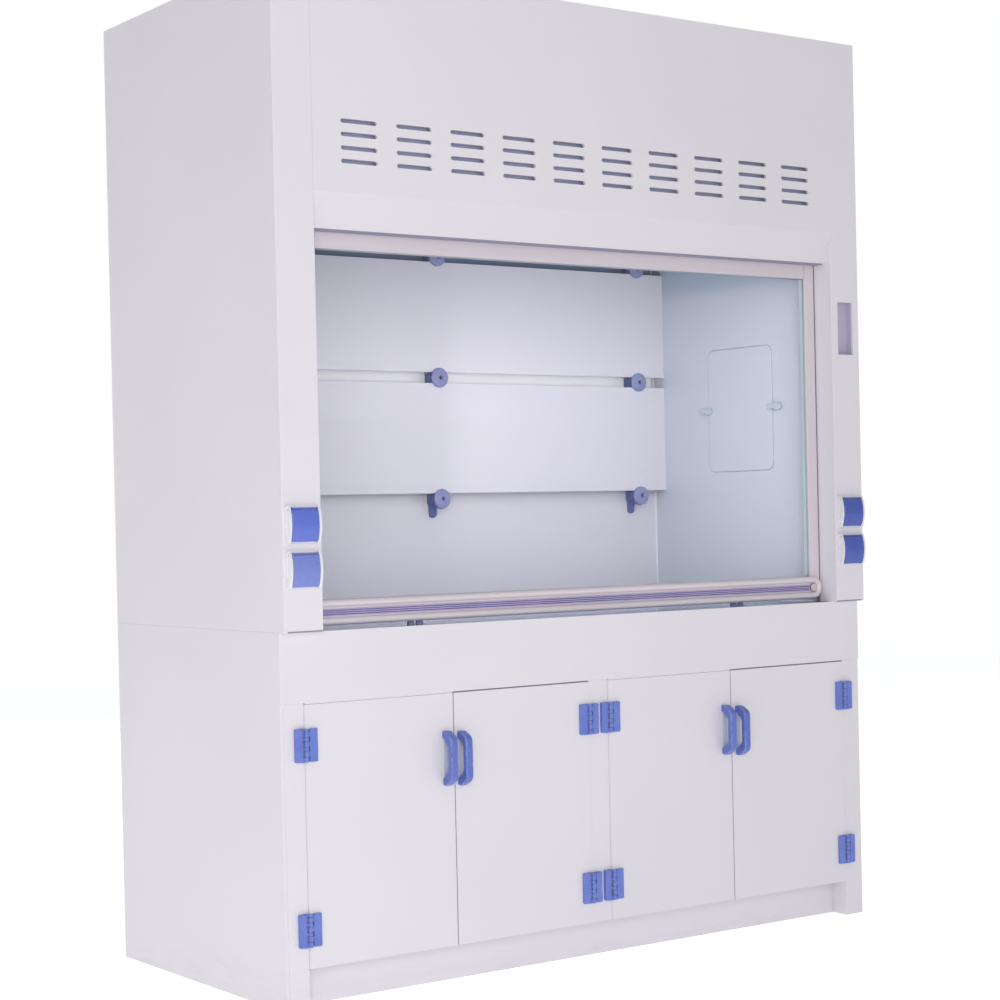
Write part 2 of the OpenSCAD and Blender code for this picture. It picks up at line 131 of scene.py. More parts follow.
def newGroup(name, inputs, outputs):
    tree = bpy.data.node_groups.new(name, "ShaderNodeTree")
    for label, kind, value in inputs:
        made = tree.interface.new_socket(name=label, in_out="INPUT", socket_type=kind)
        made.default_value = value
    for label, kind in outputs:
        tree.interface.new_socket(name=label, in_out="OUTPUT", socket_type=kind)
    taken = newNode(tree, "NodeGroupInput")
    given = newNode(tree, "NodeGroupOutput")
    return tree, taken.outputs, given.inputs


number, colour, arrow = "NodeSocketFloat", "NodeSocketColor", "NodeSocketVector"


# shared surface effects
def makeSheetSkin():
    # drawn plastic sheet: slow clouding, wiped patches that change the gloss, a fine skin
    tree, taken, given = newGroup("sheetSkin", [
        ("Colour", colour, (0.8, 0.8, 0.8, 1)), ("Cloud Colour", colour, (0.7, 0.7, 0.72, 1)),
        ("Cloud Amount", number, 0.5), ("Cloud Scale", number, 1.6),
        ("Gloss Low", number, 0.3), ("Gloss High", number, 0.45), ("Skin Scale", number, 420.0),
    ], [("Colour", colour), ("Roughness", number), ("Height", number)])
    place = restPlace(tree)
    cloud = fitRange(tree, mottle(tree, place, taken["Cloud Scale"], 2.0, 0.45), 0.25, 0.75)
    speck = mottle(tree, place, sums(tree, "MULTIPLY", taken["Cloud Scale"], 55.0), 2.0)
    speck = fitRange(tree, speck, 0.66, 0.78, 0.0, 0.5)
    amount = sums(tree, "MULTIPLY", sums(tree, "MAXIMUM", cloud, speck), taken["Cloud Amount"])
    feed(tree, mixColour(tree, amount, taken["Colour"], taken["Cloud Colour"]), given["Colour"])
    wiped = fitRange(tree, mottle(tree, place, 5.5, 4.0, 0.55), 0.22, 0.78)
    feed(tree, fitRange(tree, wiped, 0.0, 1.0, taken["Gloss Low"], taken["Gloss High"]),
         given["Roughness"])
    skin = mottle(tree, place, taken["Skin Scale"], 2.0)
    wave = mottle(tree, place, 3.2, 1.0)
    feed(tree, sums(tree, "MULTIPLY_ADD", wave, 6.0, skin), given["Height"])
    return tree


def makeEdgeWearAndHighlight():
    # corners lightened or tinted, both as wear and as painted highlight where edges catch light: where the
    # rounded normal leaves the flat one
    tree, taken, given = newGroup("edgeWearAndHighlight", [
        ("Colour", colour, (0.8, 0.8, 0.8, 1)), ("Rubbed Colour", colour, (1, 1, 1, 1)),
        ("Width", number, 0.002), ("Amount", number, 0.5), ("Breakup Scale", number, 60.0),
    ], [("Colour", colour), ("Mask", number)])
    rounded = newNode(tree, "ShaderNodeBevel", samples=3)
    feed(tree, taken["Width"], rounded.inputs["Radius"])
    flat = newNode(tree, "ShaderNodeNewGeometry").outputs["Normal"]
    along = newNode(tree, "ShaderNodeVectorMath", operation="DOT_PRODUCT")
    feed(tree, rounded.outputs["Normal"], along.inputs[0])
    feed(tree, flat, along.inputs[1])
    bent = fitRange(tree, along.outputs["Value"], 0.995, 0.86)
    broken = fitRange(tree, mottle(tree, restPlace(tree), taken["Breakup Scale"], 4.0), 0.38, 0.6)
    mask = sums(tree, "MULTIPLY", sums(tree, "MULTIPLY", bent, broken), taken["Amount"], clamp=True)
    feed(tree, mixColour(tree, mask, taken["Colour"], taken["Rubbed Colour"]), given["Colour"])
    feed(tree, mask, given["Mask"])
    return tree


def makeDrawnGrain():
    # fine lines left along an extrusion or a brushed face
    tree, taken, given = newGroup("drawnGrain", [
        ("Stretch", arrow, (3.0, 900.0, 900.0)), ("Roughness", number, 0.3), ("Spread", number, 0.12),
        ("Colour", colour, (0.7, 0.7, 0.7, 1)), ("Line Colour", colour, (0.6, 0.6, 0.6, 1)),
    ], [("Colour", colour), ("Roughness", number), ("Height", number)])
    lines = mottle(tree, stretched(tree, restPlace(tree), taken["Stretch"]), 1.0, 3.0, 0.6)
    clear = fitRange(tree, lines, 0.3, 0.7)
    feed(tree, mixColour(tree, clear, taken["Line Colour"], taken["Colour"]), given["Colour"])
    rough = sums(tree, "MULTIPLY_ADD", clear, taken["Spread"], taken["Roughness"])
    feed(tree, rough, given["Roughness"])
    feed(tree, lines, given["Height"])
    return tree


def makeMouldedSkin():
    # injection moulded plastic: spark-eroded texture with slow flow marks
    tree, taken, given = newGroup("mouldedSkin", [
        ("Colour", colour, (0.2, 0.3, 0.7, 1)), ("Flow Colour", colour, (0.25, 0.35, 0.75, 1)),
        ("Flow Scale", number, 18.0), ("Grain Scale", number, 1400.0),
        ("Gloss Low", number, 0.25), ("Gloss High", number, 0.4),
    ], [("Colour", colour), ("Roughness", number), ("Height", number)])
    place = restPlace(tree)
    flow = fitRange(tree, mottle(tree, place, taken["Flow Scale"], 3.0, 0.6), 0.35, 0.65)
    feed(tree, mixColour(tree, flow, taken["Colour"], taken["Flow Colour"]), given["Colour"])
    feed(tree, fitRange(tree, flow, 0.0, 1.0, taken["Gloss High"], taken["Gloss Low"]),
         given["Roughness"])
    cells = newNode(tree, "ShaderNodeTexVoronoi", feature="SMOOTH_F1")
    feed(tree, place, cells.inputs["Vector"])
    feed(tree, taken["Grain Scale"], cells.inputs["Scale"])
    feed(tree, cells.outputs["Distance"], given["Height"])
    return tree


def makeSettledDust():
    # dust lying on faces that look up
    tree, taken, given = newGroup("settledDust", [
        ("Colour", colour, (0.8, 0.8, 0.8, 1)), ("Dust Colour", colour, (0.6, 0.58, 0.55, 1)),
        ("Amount", number, 0.3),
    ], [("Colour", colour), ("Mask", number)])
    up = apart(tree, newNode(tree, "ShaderNodeNewGeometry").outputs["Normal"])["Z"]
    facing = fitRange(tree, up, 0.7, 0.98)
    drift = fitRange(tree, mottle(tree, restPlace(tree), 7.0, 6.0, 0.65), 0.34, 0.7)
    mask = sums(tree, "MULTIPLY", sums(tree, "MULTIPLY", facing, drift), taken["Amount"], clamp=True)
    feed(tree, mixColour(tree, mask, taken["Colour"], taken["Dust Colour"]), given["Colour"])
    feed(tree, mask, given["Mask"])
    return tree


def makeFloorScuff():
    # mop and shoe marks that thin out above the floor
    tree, taken, given = newGroup("floorScuff", [
        ("Colour", colour, (0.8, 0.8, 0.8, 1)), ("Scuff Colour", colour, (0.5, 0.49, 0.5, 1)),
        ("Reach", number, 0.12), ("Amount", number, 0.4),
    ], [("Colour", colour), ("Mask", number)])
    place = restPlace(tree)
    low = fitRange(tree, apart(tree, place)["Z"], taken["Reach"], 0.0, kind="SMOOTHSTEP")
    marks = fitRange(tree, mottle(tree, stretched(tree, place, (1.0, 1.0, 6.0)), 9.0, 6.0, 0.7), 0.42, 0.72)
    mask = sums(tree, "MULTIPLY", sums(tree, "MULTIPLY", low, marks), taken["Amount"], clamp=True)
    feed(tree, mixColour(tree, mask, taken["Colour"], taken["Scuff Colour"]), given["Colour"])
    feed(tree, mask, given["Mask"])
    return tree


sheetSkin = makeSheetSkin()
edgeWearAndHighlight = makeEdgeWearAndHighlight()
drawnGrain = makeDrawnGrain()
mouldedSkin = makeMouldedSkin()
settledDust = makeSettledDust()
floorScuff = makeFloorScuff()
print("shared surface effects ready")


# material helpers
def startMaterial(name, metallic=0.0, roughness=0.4, **plain):
    made = bpy.data.materials.new(name)
    made.use_nodes = True
    tree = made.node_tree
    shader = tree.nodes["Principled BSDF"]
    shader.inputs["Metallic"].default_value = metallic
    shader.inputs["Roughness"].default_value = roughness
    for label, value in plain.items():
        shader.inputs[label.replace("_", " ")].default_value = value
    return made, tree, shader


def useGroup(tree, group, **values):
    made = newNode(tree, "ShaderNodeGroup", node_tree=group)
    for label, value in values.items():
        feed(tree, value, made.inputs[label.replace("_", " ")])
    return made.outputs


def mixShaders(tree, ray, usual, onRay, output):
    # the second shader answers one kind of ray, the first one the rest
    mix = newNode(tree, "ShaderNodeMixShader")
    feed(tree, newNode(tree, "ShaderNodeLightPath").outputs[ray], mix.inputs[0])
    feed(tree, usual.outputs[0], mix.inputs[1])
    feed(tree, onRay.outputs[0], mix.inputs[2])
    feed(tree, mix.outputs[0], output.inputs["Surface"])


def wornAndLitEdges(tree, base, tone, amount, width):
    return useGroup(tree, edgeWearAndHighlight, Colour=base, Rubbed_Colour=tone, Amount=amount, Width=width)["Colour"]


def dusted(tree, base, amount):
    return useGroup(tree, settledDust, Colour=base, Amount=amount)["Colour"] if amount else base


def closeMaterial(tree, shader, base, skin, depth):
    # colour, roughness and relief into the shader
    bump = newNode(tree, "ShaderNodeBump")
    feed(tree, depth, bump.inputs["Distance"])
    feed(tree, 1.0, bump.inputs["Strength"])
    feed(tree, skin["Height"], bump.inputs["Height"])
    feed(tree, base, shader.inputs["Base Color"])
    feed(tree, skin["Roughness"], shader.inputs["Roughness"])
    feed(tree, bump.outputs["Normal"], shader.inputs["Normal"])


def sheetMaterial(name, tone, cloudTone, gloss=(0.3, 0.44), cloud=0.5, cloudScale=1.6, dust=0.0, scuff=0.0,
                  scuffReach=0.14, rub=0.0, skinDepth=0.00003, shine=0.5, glow=0.0, zone=None):
    # zone is a band of heights over which the sheet turns to another tone, used as painted shade
    made, tree, shader = startMaterial(name)
    if zone:
        height = apart(tree, restPlace(tree))["Z"]
        share = fitRange(tree, height, zone["low"], zone["high"], zone["below"], zone["above"], zone["kind"])
        tone, cloudTone = (mixColour(tree, share, one, linearTone(*zone["tone"]))
                           for one in (tone, cloudTone))
    skin = useGroup(tree, sheetSkin, Colour=tone, Cloud_Colour=cloudTone, Cloud_Amount=cloud,
                    Cloud_Scale=cloudScale, Gloss_Low=gloss[0], Gloss_High=gloss[1])
    base = skin["Colour"]
    if scuff:
        base = useGroup(tree, floorScuff, Colour=base, Reach=scuffReach, Amount=scuff)["Colour"]
    base = dusted(tree, base, dust)
    # edges lightened to white here are painted highlight (used on the inspection covers)
    if rub:
        base = wornAndLitEdges(tree, base, (1, 1, 1, 1), rub, 0.0016)
    shader.inputs["Specular IOR Level"].default_value = shine
    # painted light: the sheet glows faintly though it is no lamp
    if glow:
        shader.inputs["Emission Color"].default_value = (0.9, 0.88, 1.0, 1.0)
        shader.inputs["Emission Strength"].default_value = glow
    closeMaterial(tree, shader, base, skin, skinDepth)
    return made


def mouldedMaterial(name, tone, flowTone, gloss=(0.24, 0.38), wearAndHighlightTone=(255, 255, 255), rub=0.5,
                    wearAndHighlightWidth=0.0012, grain=1400.0, grainDepth=0.00002, dust=0.0, coat=0.0):
    made, tree, shader = startMaterial(name)
    skin = useGroup(tree, mouldedSkin, Colour=tone, Flow_Colour=flowTone, Grain_Scale=grain,
                    Gloss_Low=gloss[0], Gloss_High=gloss[1])
    base = wornAndLitEdges(tree, skin["Colour"], linearTone(*wearAndHighlightTone), rub, wearAndHighlightWidth)
    shader.inputs["Coat Weight"].default_value = coat
    closeMaterial(tree, shader, dusted(tree, base, dust), skin, grainDepth)
    return made


def metalMaterial(name, tone, lineTone, stretch, roughness, rub=0.4, dust=0.0):
    made, tree, shader = startMaterial(name, metallic=1.0)
    grain = useGroup(tree, drawnGrain, Stretch=stretch, Colour=tone, Line_Colour=lineTone,
                     Roughness=roughness, Spread=0.12)
    base = wornAndLitEdges(tree, grain["Colour"], (0.95, 0.95, 0.95, 1), rub, 0.001)
    closeMaterial(tree, shader, dusted(tree, base, dust), grain, 0.00002)
    return made


# the hood's finishes: a tone, its second tone, and what differs from the usual
# painted shade: the fascia's folded lower strip is toned darker so the bend shows less light
foldShade = {"low": 1.8350, "high": 1.8395, "below": 1.0, "above": 0.0, "tone": (220, 215, 221),
            "kind": "LINEAR"}
# painted shade: the chamber walls turn darker and bluer above 1.70 m, for the shadow under the ceiling
wallTopShade = {"low": 1.70, "high": 1.76, "below": 0.0, "above": 0.75, "tone": (160, 176, 194),
             "kind": "SMOOTHSTEP"}
trimGloss = {"gloss": (0.5, 0.6), "cloudScale": 12.0}
wallGloss = {"gloss": (0.28, 0.36), "cloudScale": 2.0, "cloud": 0.3, "zone": wallTopShade}
backGloss = {"gloss": (0.3, 0.38), "cloudScale": 2.4, "cloud": 0.3}
lidGloss = {"gloss": (0.2, 0.32), "rub": 0.4, "wearAndHighlightTone": (150, 162, 226), "coat": 0.2}

sheetFinishes = {
    "whitePanel": ((227, 223, 229), (218, 213, 221), {"scuff": 0.22, "dust": 0.35}),
    "fasciaSheet": ((227, 223, 229), (218, 213, 221), {"zone": foldShade}),
    "toePanel": ((223, 218, 225), (218, 213, 221), {"scuff": 0.22, "scuffReach": 0.07,
                                                    "gloss": (0.36, 0.52)}),
    # chamberWall: a blue-grey tone on the white liner, painted reflection of the glass in front of it
    "chamberWall": ((196, 200, 210), (191, 195, 206), wallGloss),
    # coverSheet: white-lightened edges are painted highlight, and it takes the walls' painted shade towards
    # the top
    "coverSheet": ((196, 200, 210), (191, 195, 206), {**wallGloss, "rub": 0.8}),
    "baffleSheet": ((208, 203, 212), (204, 199, 209), {**backGloss, "gloss": (0.28, 0.36)}),
    "backSheet": ((208, 203, 212), (204, 199, 209), backGloss),
    "slotBacking": ((250, 247, 252), (246, 242, 250), {**backGloss, "glow": 0.03}),
    "weldString": ((222, 221, 226), (205, 203, 210), {"gloss": (0.3, 0.42), "cloudScale": 18.0,
                                                      "skinDepth": 0.00012}),
    "worktopGlaze": ((120, 141, 172), (112, 133, 164), {"gloss": (0.1, 0.18), "cloudScale": 9.0,
                                                        "skinDepth": 0.00001, "shine": 0.25}),
    "housingEnamel": ((214, 214, 216), (200, 200, 203), {"gloss": (0.35, 0.5), "cloudScale": 4.0,
                                                         "dust": 0.5}),
    "pocketPlastic": ((190, 184, 206), (178, 173, 196), {"gloss": (0.4, 0.55), "cloudScale": 14.0}),
    "guidePlastic": ((184, 184, 190), (170, 170, 178), {"gloss": (0.4, 0.52), "cloudScale": 11.0}),
    "throatGrey": ((124, 142, 172), (116, 134, 164), {"gloss": (0.4, 0.5), "cloudScale": 4.0}),
    "plenumGrey": ((150, 158, 182), (138, 146, 172), {"gloss": (0.4, 0.55), "cloudScale": 5.0}),
    "ventGrey": ((190, 196, 222), (176, 182, 210), {"gloss": (0.4, 0.55), "cloudScale": 5.0}),
    "handlePad": ((196, 198, 212), (188, 190, 206), {"gloss": (0.3, 0.42), "cloudScale": 30.0}),
    "glassEdge": ((186, 203, 210), (176, 195, 204), {"gloss": (0.08, 0.16), "cloudScale": 6.0}),
    "shadowTrim": ((146, 146, 170), (138, 138, 164), trimGloss),
    "jointTrim": ((146, 142, 152), (140, 136, 148), trimGloss),
    "darkTrim": ((92, 84, 98), (84, 78, 92), trimGloss),
}
mouldedFinishes = {
    "hingeBlue": ((100, 119, 200), (110, 129, 206), {"rub": 0.6, "wearAndHighlightTone": (168, 176, 228)}),
    # handleBlue: a wide light rim on darker faces, a painted highlight for light caught by the handles'
    # rounded edges
    "handleBlue": ((92, 110, 188), (100, 117, 194), {"rub": 0.9, "wearAndHighlightTone": (156, 170, 224),
                                                     "wearAndHighlightWidth": 0.0065, "gloss": (0.2, 0.3)}),
    # the four lids are one blue moulding given four tones, each lighter or darker for the reflection and
    # shade on it: painted reflection and painted shade
    "lidBlue1": ((92, 110, 200), (96, 114, 204), lidGloss),
    "lidBlue2": ((116, 130, 200), (120, 134, 204), lidGloss),
    "lidBlue3": ((68, 86, 172), (72, 90, 176), lidGloss),
    "lidBlue4": ((72, 90, 174), (76, 94, 178), lidGloss),
    "knobPlastic": ((122, 126, 170), (132, 136, 180), {"gloss": (0.34, 0.46), "wearAndHighlightTone": (166, 170, 204)}),
    "bracketPlastic": ((66, 80, 146), (76, 90, 154), {"gloss": (0.36, 0.5), "wearAndHighlightTone": (130, 136, 180)}),
    "socketWhite": ((230, 228, 233), (226, 224, 230), {"gloss": (0.22, 0.34), "rub": 0.2}),
    "latchClear": ((186, 194, 208), (178, 187, 202), {"gloss": (0.3, 0.4), "rub": 0.3}),
    "pulleyNylon": ((226, 223, 212), (214, 210, 198), {"gloss": (0.34, 0.46), "wearAndHighlightTone": (180, 176, 166)}),
    "rubberDark": ((140, 142, 182), (148, 150, 190), {"gloss": (0.5, 0.65), "rub": 0.3,
                                                      "wearAndHighlightTone": (110, 108, 130)}),
    "gasketGrey": ((158, 162, 174), (168, 172, 184), {"gloss": (0.42, 0.55), "rub": 0.0}),
    "inlayPlastic": ((176, 166, 202), (186, 176, 210), {"gloss": (0.26, 0.38), "rub": 0.3,
                                                        "wearAndHighlightTone": (190, 182, 216), "wearAndHighlightWidth": 0.0008}),
    "inlayGroove": ((104, 90, 162), (114, 100, 172), {"gloss": (0.4, 0.5), "rub": 0.0}),
    "plugPlastic": ((206, 198, 200), (196, 188, 192), {"gloss": (0.2, 0.3), "rub": 0.3}),
    "darkHole": ((44, 44, 54), (52, 52, 62), {"gloss": (0.5, 0.6), "rub": 0.0}),
    "castIron": ((70, 72, 78), (86, 86, 90), {"gloss": (0.5, 0.66), "grain": 260.0, "grainDepth": 0.0003,
                                              "dust": 0.4, "wearAndHighlightTone": (120, 112, 104)}),
}
metalFinishes = {
    "gearSteel": ((186, 188, 192), (160, 162, 168),
                  {"stretch": (40.0, 40.0, 900.0), "roughness": 0.34, "dust": 0.3}),
    "wireSteel": ((176, 178, 184), (140, 142, 150),
                  {"stretch": (900.0, 900.0, 30.0), "roughness": 0.28, "rub": 0.2}),
    "contactBrass": ((206, 184, 124), (186, 162, 104), {"stretch": (300.0, 300.0, 40.0), "roughness": 0.22}),
}
sashFinish = {"tone": linearTone(231, 222, 227), "lineTone": linearTone(217, 208, 214), "roughness": 0.44,
              "wearAndHighlightTone": linearTone(232, 224, 228), "stileX": 0.763, "barY": -0.3515,
              "glassTint": (0.975, 0.98, 0.98, 1.0), "lampTint": (0.95, 0.97, 0.98, 1.0)}

finish = {}
for table, maker in ((sheetFinishes, sheetMaterial), (mouldedFinishes, mouldedMaterial),
                     (metalFinishes, metalMaterial)):
    for name, (tone, secondTone, others) in table.items():
        finish[name] = maker(name, linearTone(*tone), linearTone(*secondTone), **others)


def makeSashAluminium():
    # grain runs across on the rails and the bar, and up on the stiles
    made, tree, shader = startMaterial("sashAluminium", metallic=0.3)
    values = sashFinish
    across, upright = (useGroup(tree, drawnGrain, Stretch=stretch, Colour=values["tone"],
                                Line_Colour=values["lineTone"], Roughness=values["roughness"], Spread=0.14)
                       for stretch in ((2.5, 1100.0, 1100.0), (1100.0, 1100.0, 2.5)))
    place = apart(tree, restPlace(tree))
    onStile = sums(tree, "GREATER_THAN", sums(tree, "ABSOLUTE", place["X"]), values["stileX"])
    onBar = sums(tree, "LESS_THAN", place["Y"], values["barY"])
    upShare = sums(tree, "MULTIPLY", onStile, sums(tree, "SUBTRACT", 1.0, onBar))
    acrossShare = sums(tree, "SUBTRACT", 1.0, upShare)
    base = mixColour(tree, upShare, across["Colour"], upright["Colour"])
    skin = {label: sums(tree, "ADD", sums(tree, "MULTIPLY", across[label], acrossShare),
                        sums(tree, "MULTIPLY", upright[label], upShare)) for label in ("Roughness", "Height")}
    closeMaterial(tree, shader, wornAndLitEdges(tree, base, values["wearAndHighlightTone"], 0.55, 0.001), skin, 0.00002)
    return made


def makeSashGlass():
    # clear pane with a faint haze of wiped streaks; lamps shine through it
    made, tree, shader = startMaterial("sashGlass", roughness=0.02, Transmission_Weight=1.0, IOR=1.45)
    streak = mottle(tree, stretched(tree, restPlace(tree), (9.0, 9.0, 1.4)), 1.0, 3.0, 0.5)
    feed(tree, fitRange(tree, streak, 0.3, 0.8, 0.0, 0.02), shader.inputs["Roughness"])
    shader.inputs["Base Color"].default_value = sashFinish["glassTint"]
    clear = newNode(tree, "ShaderNodeBsdfTransparent")
    clear.inputs["Color"].default_value = sashFinish["lampTint"]
    mixShaders(tree, "Is Shadow Ray", shader, clear, tree.nodes["Material Output"])
    return made


def makeOpalLens():
    made, tree, shader = startMaterial("opalLens", roughness=0.35, Emission_Strength=0.25)
    skin = useGroup(tree, mouldedSkin, Colour=linearTone(238, 240, 244),
                    Flow_Colour=linearTone(230, 233, 240), Flow_Scale=6.0, Grain_Scale=500.0,
                    Gloss_Low=0.25, Gloss_High=0.4)
    feed(tree, skin["Colour"], shader.inputs["Emission Color"])
    closeMaterial(tree, shader, skin["Colour"], skin, 0.0001)
    return made


finish["sashAluminium"] = makeSashAluminium()
finish["sashGlass"] = makeSashGlass()
finish["opalLens"] = makeOpalLens()

finishOf = {
    "toe_kick": "toePanel", "worktop": "worktopGlaze", "side_liners": "chamberWall",
    "back_liner": "backSheet", "ceiling_liner": "chamberWall", "exhaust_plenum": "plenumGrey",
    "light_fitting": "housingEnamel",
    "light_lens": "opalLens", "baffle_panels": "baffleSheet", "baffle_brackets": "bracketPlastic",
    "baffle_knobs": "knobPlastic", "inspection_covers": "coverSheet", "controller_pocket": "pocketPlastic",
    "sash_guides": "guidePlastic", "sash_bumpers": "rubberDark", "pulley_brackets": "gearSteel",
    "sash_cables": "wireSteel", "counterweight_cables": "wireSteel", "cable_wraps": "wireSteel",
    "socket_plates": "socketWhite", "hinge_frame_leaves": "hingeBlue", "sash_frame": "sashAluminium",
    "sash_glass": "sashGlass", "sash_handle_bar": "sashAluminium", "sash_handle_inlay": "inlayPlastic",
    "sash_end_plugs": "plugPlastic", "counterweights": "castIron", "pulleys": "pulleyNylon",
    "fascia": "fasciaSheet",
}

# width of the softened edge on each kind of piece, and the steps across it
edgeOf = {"sheet": (0.0010, 2), "handle": (0.0028, 4), "hinge": (0.0008, 2), "lid": (0.0014, 3),
          "plate": (0.0012, 3), "small": (0.0006, 2), "bracket": (0.0022, 3), "iron": (0.003, 3)}
edgeKind = {"baffle_brackets": "bracket", "hinge_frame_leaves": "hinge", "sash_frame": "plate",
            "sash_handle_bar": "small", "sash_handle_inlay": "small", "light_lens": "small",
            "pulleys": "small", "counterweights": "iron"}
for name in ("socket_plates", "side_liners", "sash_glass", "sash_cables", "counterweight_cables",
             "cable_wraps", "sash_bumpers", "fascia", "baffle_knobs", "sash_end_plugs"):
    edgeKind[name] = None
for k in range(1, 5):
    for name, material, kind in (("door_handle", "handleBlue", "handle"),
                                 ("door_leaves", "hingeBlue", "hinge"),
                                 ("socket_lid", f"lidBlue{k}", "lid"),
                                 ("window_latch", "latchClear", "plate")):
        finishOf[f"{name}_{k}"] = material
        edgeKind[f"{name}_{k}"] = kind


def softenEdges(obj, width, steps, angle=32.0):
    weld = obj.modifiers.new("joinSplitVertices", "WELD")
    weld.merge_threshold = 0.00001
    edge = obj.modifiers.new("softEdge", "BEVEL")
    edge.width = width
    edge.segments = steps
    edge.limit_method = "ANGLE"
    edge.angle_limit = math.radians(angle)
    edge.use_clamp_overlap = False
    edge.miter_outer = "MITER_ARC"
    even = obj.modifiers.new("evenShading", "WEIGHTED_NORMAL")
    even.keep_sharp = False
    even.weight = 80


def dressNodes():
    for name, obj in nodes.items():
        obj.data.materials.clear()
        obj.data.materials.append(finish[finishOf.get(name, "whitePanel")])
        kind = edgeKind.get(name, "sheet")
        if kind:
            softenEdges(obj, *edgeOf[kind])


dressNodes()
print("finishes on the frame's", len(nodes), "nodes")


# mesh helpers
def meshFrom(name, work):
    bmesh.ops.remove_doubles(work, verts=work.verts, dist=0.000001)
    bmesh.ops.recalc_face_normals(work, faces=work.faces)
    mesh = bpy.data.meshes.new(name)
    work.to_mesh(mesh)
    work.free()
    return mesh


def keepCorners(mesh, angle):
    # edges that turn by more than the angle stay sharp
    limit = math.cos(math.radians(angle))
    work = bmesh.new()
    work.from_mesh(mesh)
    for edge in work.edges:
        if len(edge.link_faces) == 2:
            edge.smooth = edge.link_faces[0].normal.dot(edge.link_faces[1].normal) > limit
    work.to_mesh(mesh)
    work.free()


def addPiece(name, work, body, slotName, *finishes, smooth=True, corner=None):
    obj = bpy.data.objects.new(name, meshFrom(name, work))
    scene.collection.objects.link(obj)
    for one in finishes:
        obj.data.materials.append(finish[one])
    for face in obj.data.polygons:
        face.use_smooth = smooth
    if corner:
        keepCorners(obj.data, corner)
    if body:
        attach(obj, body)
    return obj


def sideways(direction):
    helper = Vector((0, 0, 1)) if abs(direction.z) < 0.9 else Vector((0, 1, 0))
    first = direction.cross(helper).normalized()
    return first, direction.cross(first).normalized()


def circle(place, radius, count, first=(1, 0, 0), second=(0, 0, 1)):
    # points round a place, in the plane of two directions
    place, first, second = Vector(place), Vector(first), Vector(second)
    turns = (math.tau * k / count for k in range(count))
    return [place + first * (radius * math.cos(turn)) + second * (radius * math.sin(turn)) for turn in turns]


def closeRing(work, here, there, matter=0):
    # faces between two loops with the same number of points
    count = len(here)
    for k in range(count):
        face = work.faces.new((here[k], here[(k + 1) % count], there[(k + 1) % count], there[k]))
        face.material_index = matter


def sweep(work, points, radius, sides=10, closed=False, wobble=0.0):
    # a round section carried along the points
    points = [Vector(p) for p in points]
    count = len(points)
    rings = []
    first = None
    for i, point in enumerate(points):
        ahead = points[(i + 1) % count] if closed or i + 1 < count else point
        behind = points[i - 1] if closed or i > 0 else point
        direction = (ahead - behind).normalized()
        if first is None:
            first, second = sideways(direction)
        else:
            first = (first - direction * first.dot(direction)).normalized()
            second = direction.cross(first).normalized()
        size = radius * (1.0 + wobble * dice.uniform(-1.0, 1.0))
        rings.append([work.verts.new(p) for p in circle(point, size, sides, first, second)])
    for i in range(count if closed else count - 1):
        closeRing(work, rings[i], rings[(i + 1) % count])
    if not closed:
        work.faces.new(list(reversed(rings[0])))
        work.faces.new(rings[-1])


def stepsBetween(start, end, step):
    start, end = Vector(start), Vector(end)
    count = max(2, int((end - start).length / step) + 1)
    return [start.lerp(end, i / (count - 1)) for i in range(count)]


def lathe(work, profile, place, axis, sides=48, scallop=None):
    # profile is (radius, distance along the axis), closed at both ends when the radius is 0
    axis = Vector(axis).normalized()
    first, second = sideways(axis)
    place = Vector(place)
    rings = []
    for radius, along in profile:
        if radius < 1e-7:
            rings.append([work.verts.new(place + axis * along)])
            continue
        ring = []
        for k in range(sides):
            turn = math.tau * k / sides
            size = radius * (scallop(turn, radius) if scallop else 1.0)
            ring.append(work.verts.new(place + axis * along + (first * math.cos(turn)
                                                               + second * math.sin(turn)) * size))
        rings.append(ring)
    for here, there in zip(rings, rings[1:]):
        if len(here) == 1 and len(there) == 1:
            continue
        for k in range(sides):
            a, b = here[k % len(here)], here[(k + 1) % len(here)]
            c, d = there[(k + 1) % len(there)], there[k % len(there)]
            corners = []
            for v in (a, b, c, d):
                if v not in corners:
                    corners.append(v)
            work.faces.new(corners)


def roundedOutline(width, height, radius, steps=6):
    outline = []
    for cx, cy, start in ((1, 1, 0), (-1, 1, 90), (-1, -1, 180), (1, -1, 270)):
        for k in range(steps + 1):
            turn = math.radians(start + 90 * k / steps)
            outline.append((cx * (width / 2 - radius) + radius * math.cos(turn),
                            cy * (height / 2 - radius) + radius * math.sin(turn)))
    return outline


def raisePlate(work, outline, place, across, up, out, depth, edge=0.0):
    # an outline raised from its place along out, with a chamfered front edge
    across, up, out = Vector(across), Vector(up), Vector(out)
    place = Vector(place)
    centre = (sum(p[0] for p in outline) / len(outline), sum(p[1] for p in outline) / len(outline))
    levels = [(0.0, 0.0), (depth - edge, 0.0)]
    if edge:
        levels += [(depth - edge * 0.3, edge * 0.3), (depth, edge)]
    rings = []
    for rise, shrink in levels:
        ring = []
        for x, y in outline:
            away = Vector((x - centre[0], y - centre[1]))
            scale = max(0.0, 1.0 - shrink / max(away.length, 1e-6))
            px, py = centre[0] + away.x * scale, centre[1] + away.y * scale
            ring.append(work.verts.new(place + across * px + up * py + out * rise))
        rings.append(ring)
    for here, there in zip(rings, rings[1:]):
        closeRing(work, here, there)
    work.faces.new(rings[-1])
    work.faces.new(list(reversed(rings[0])))


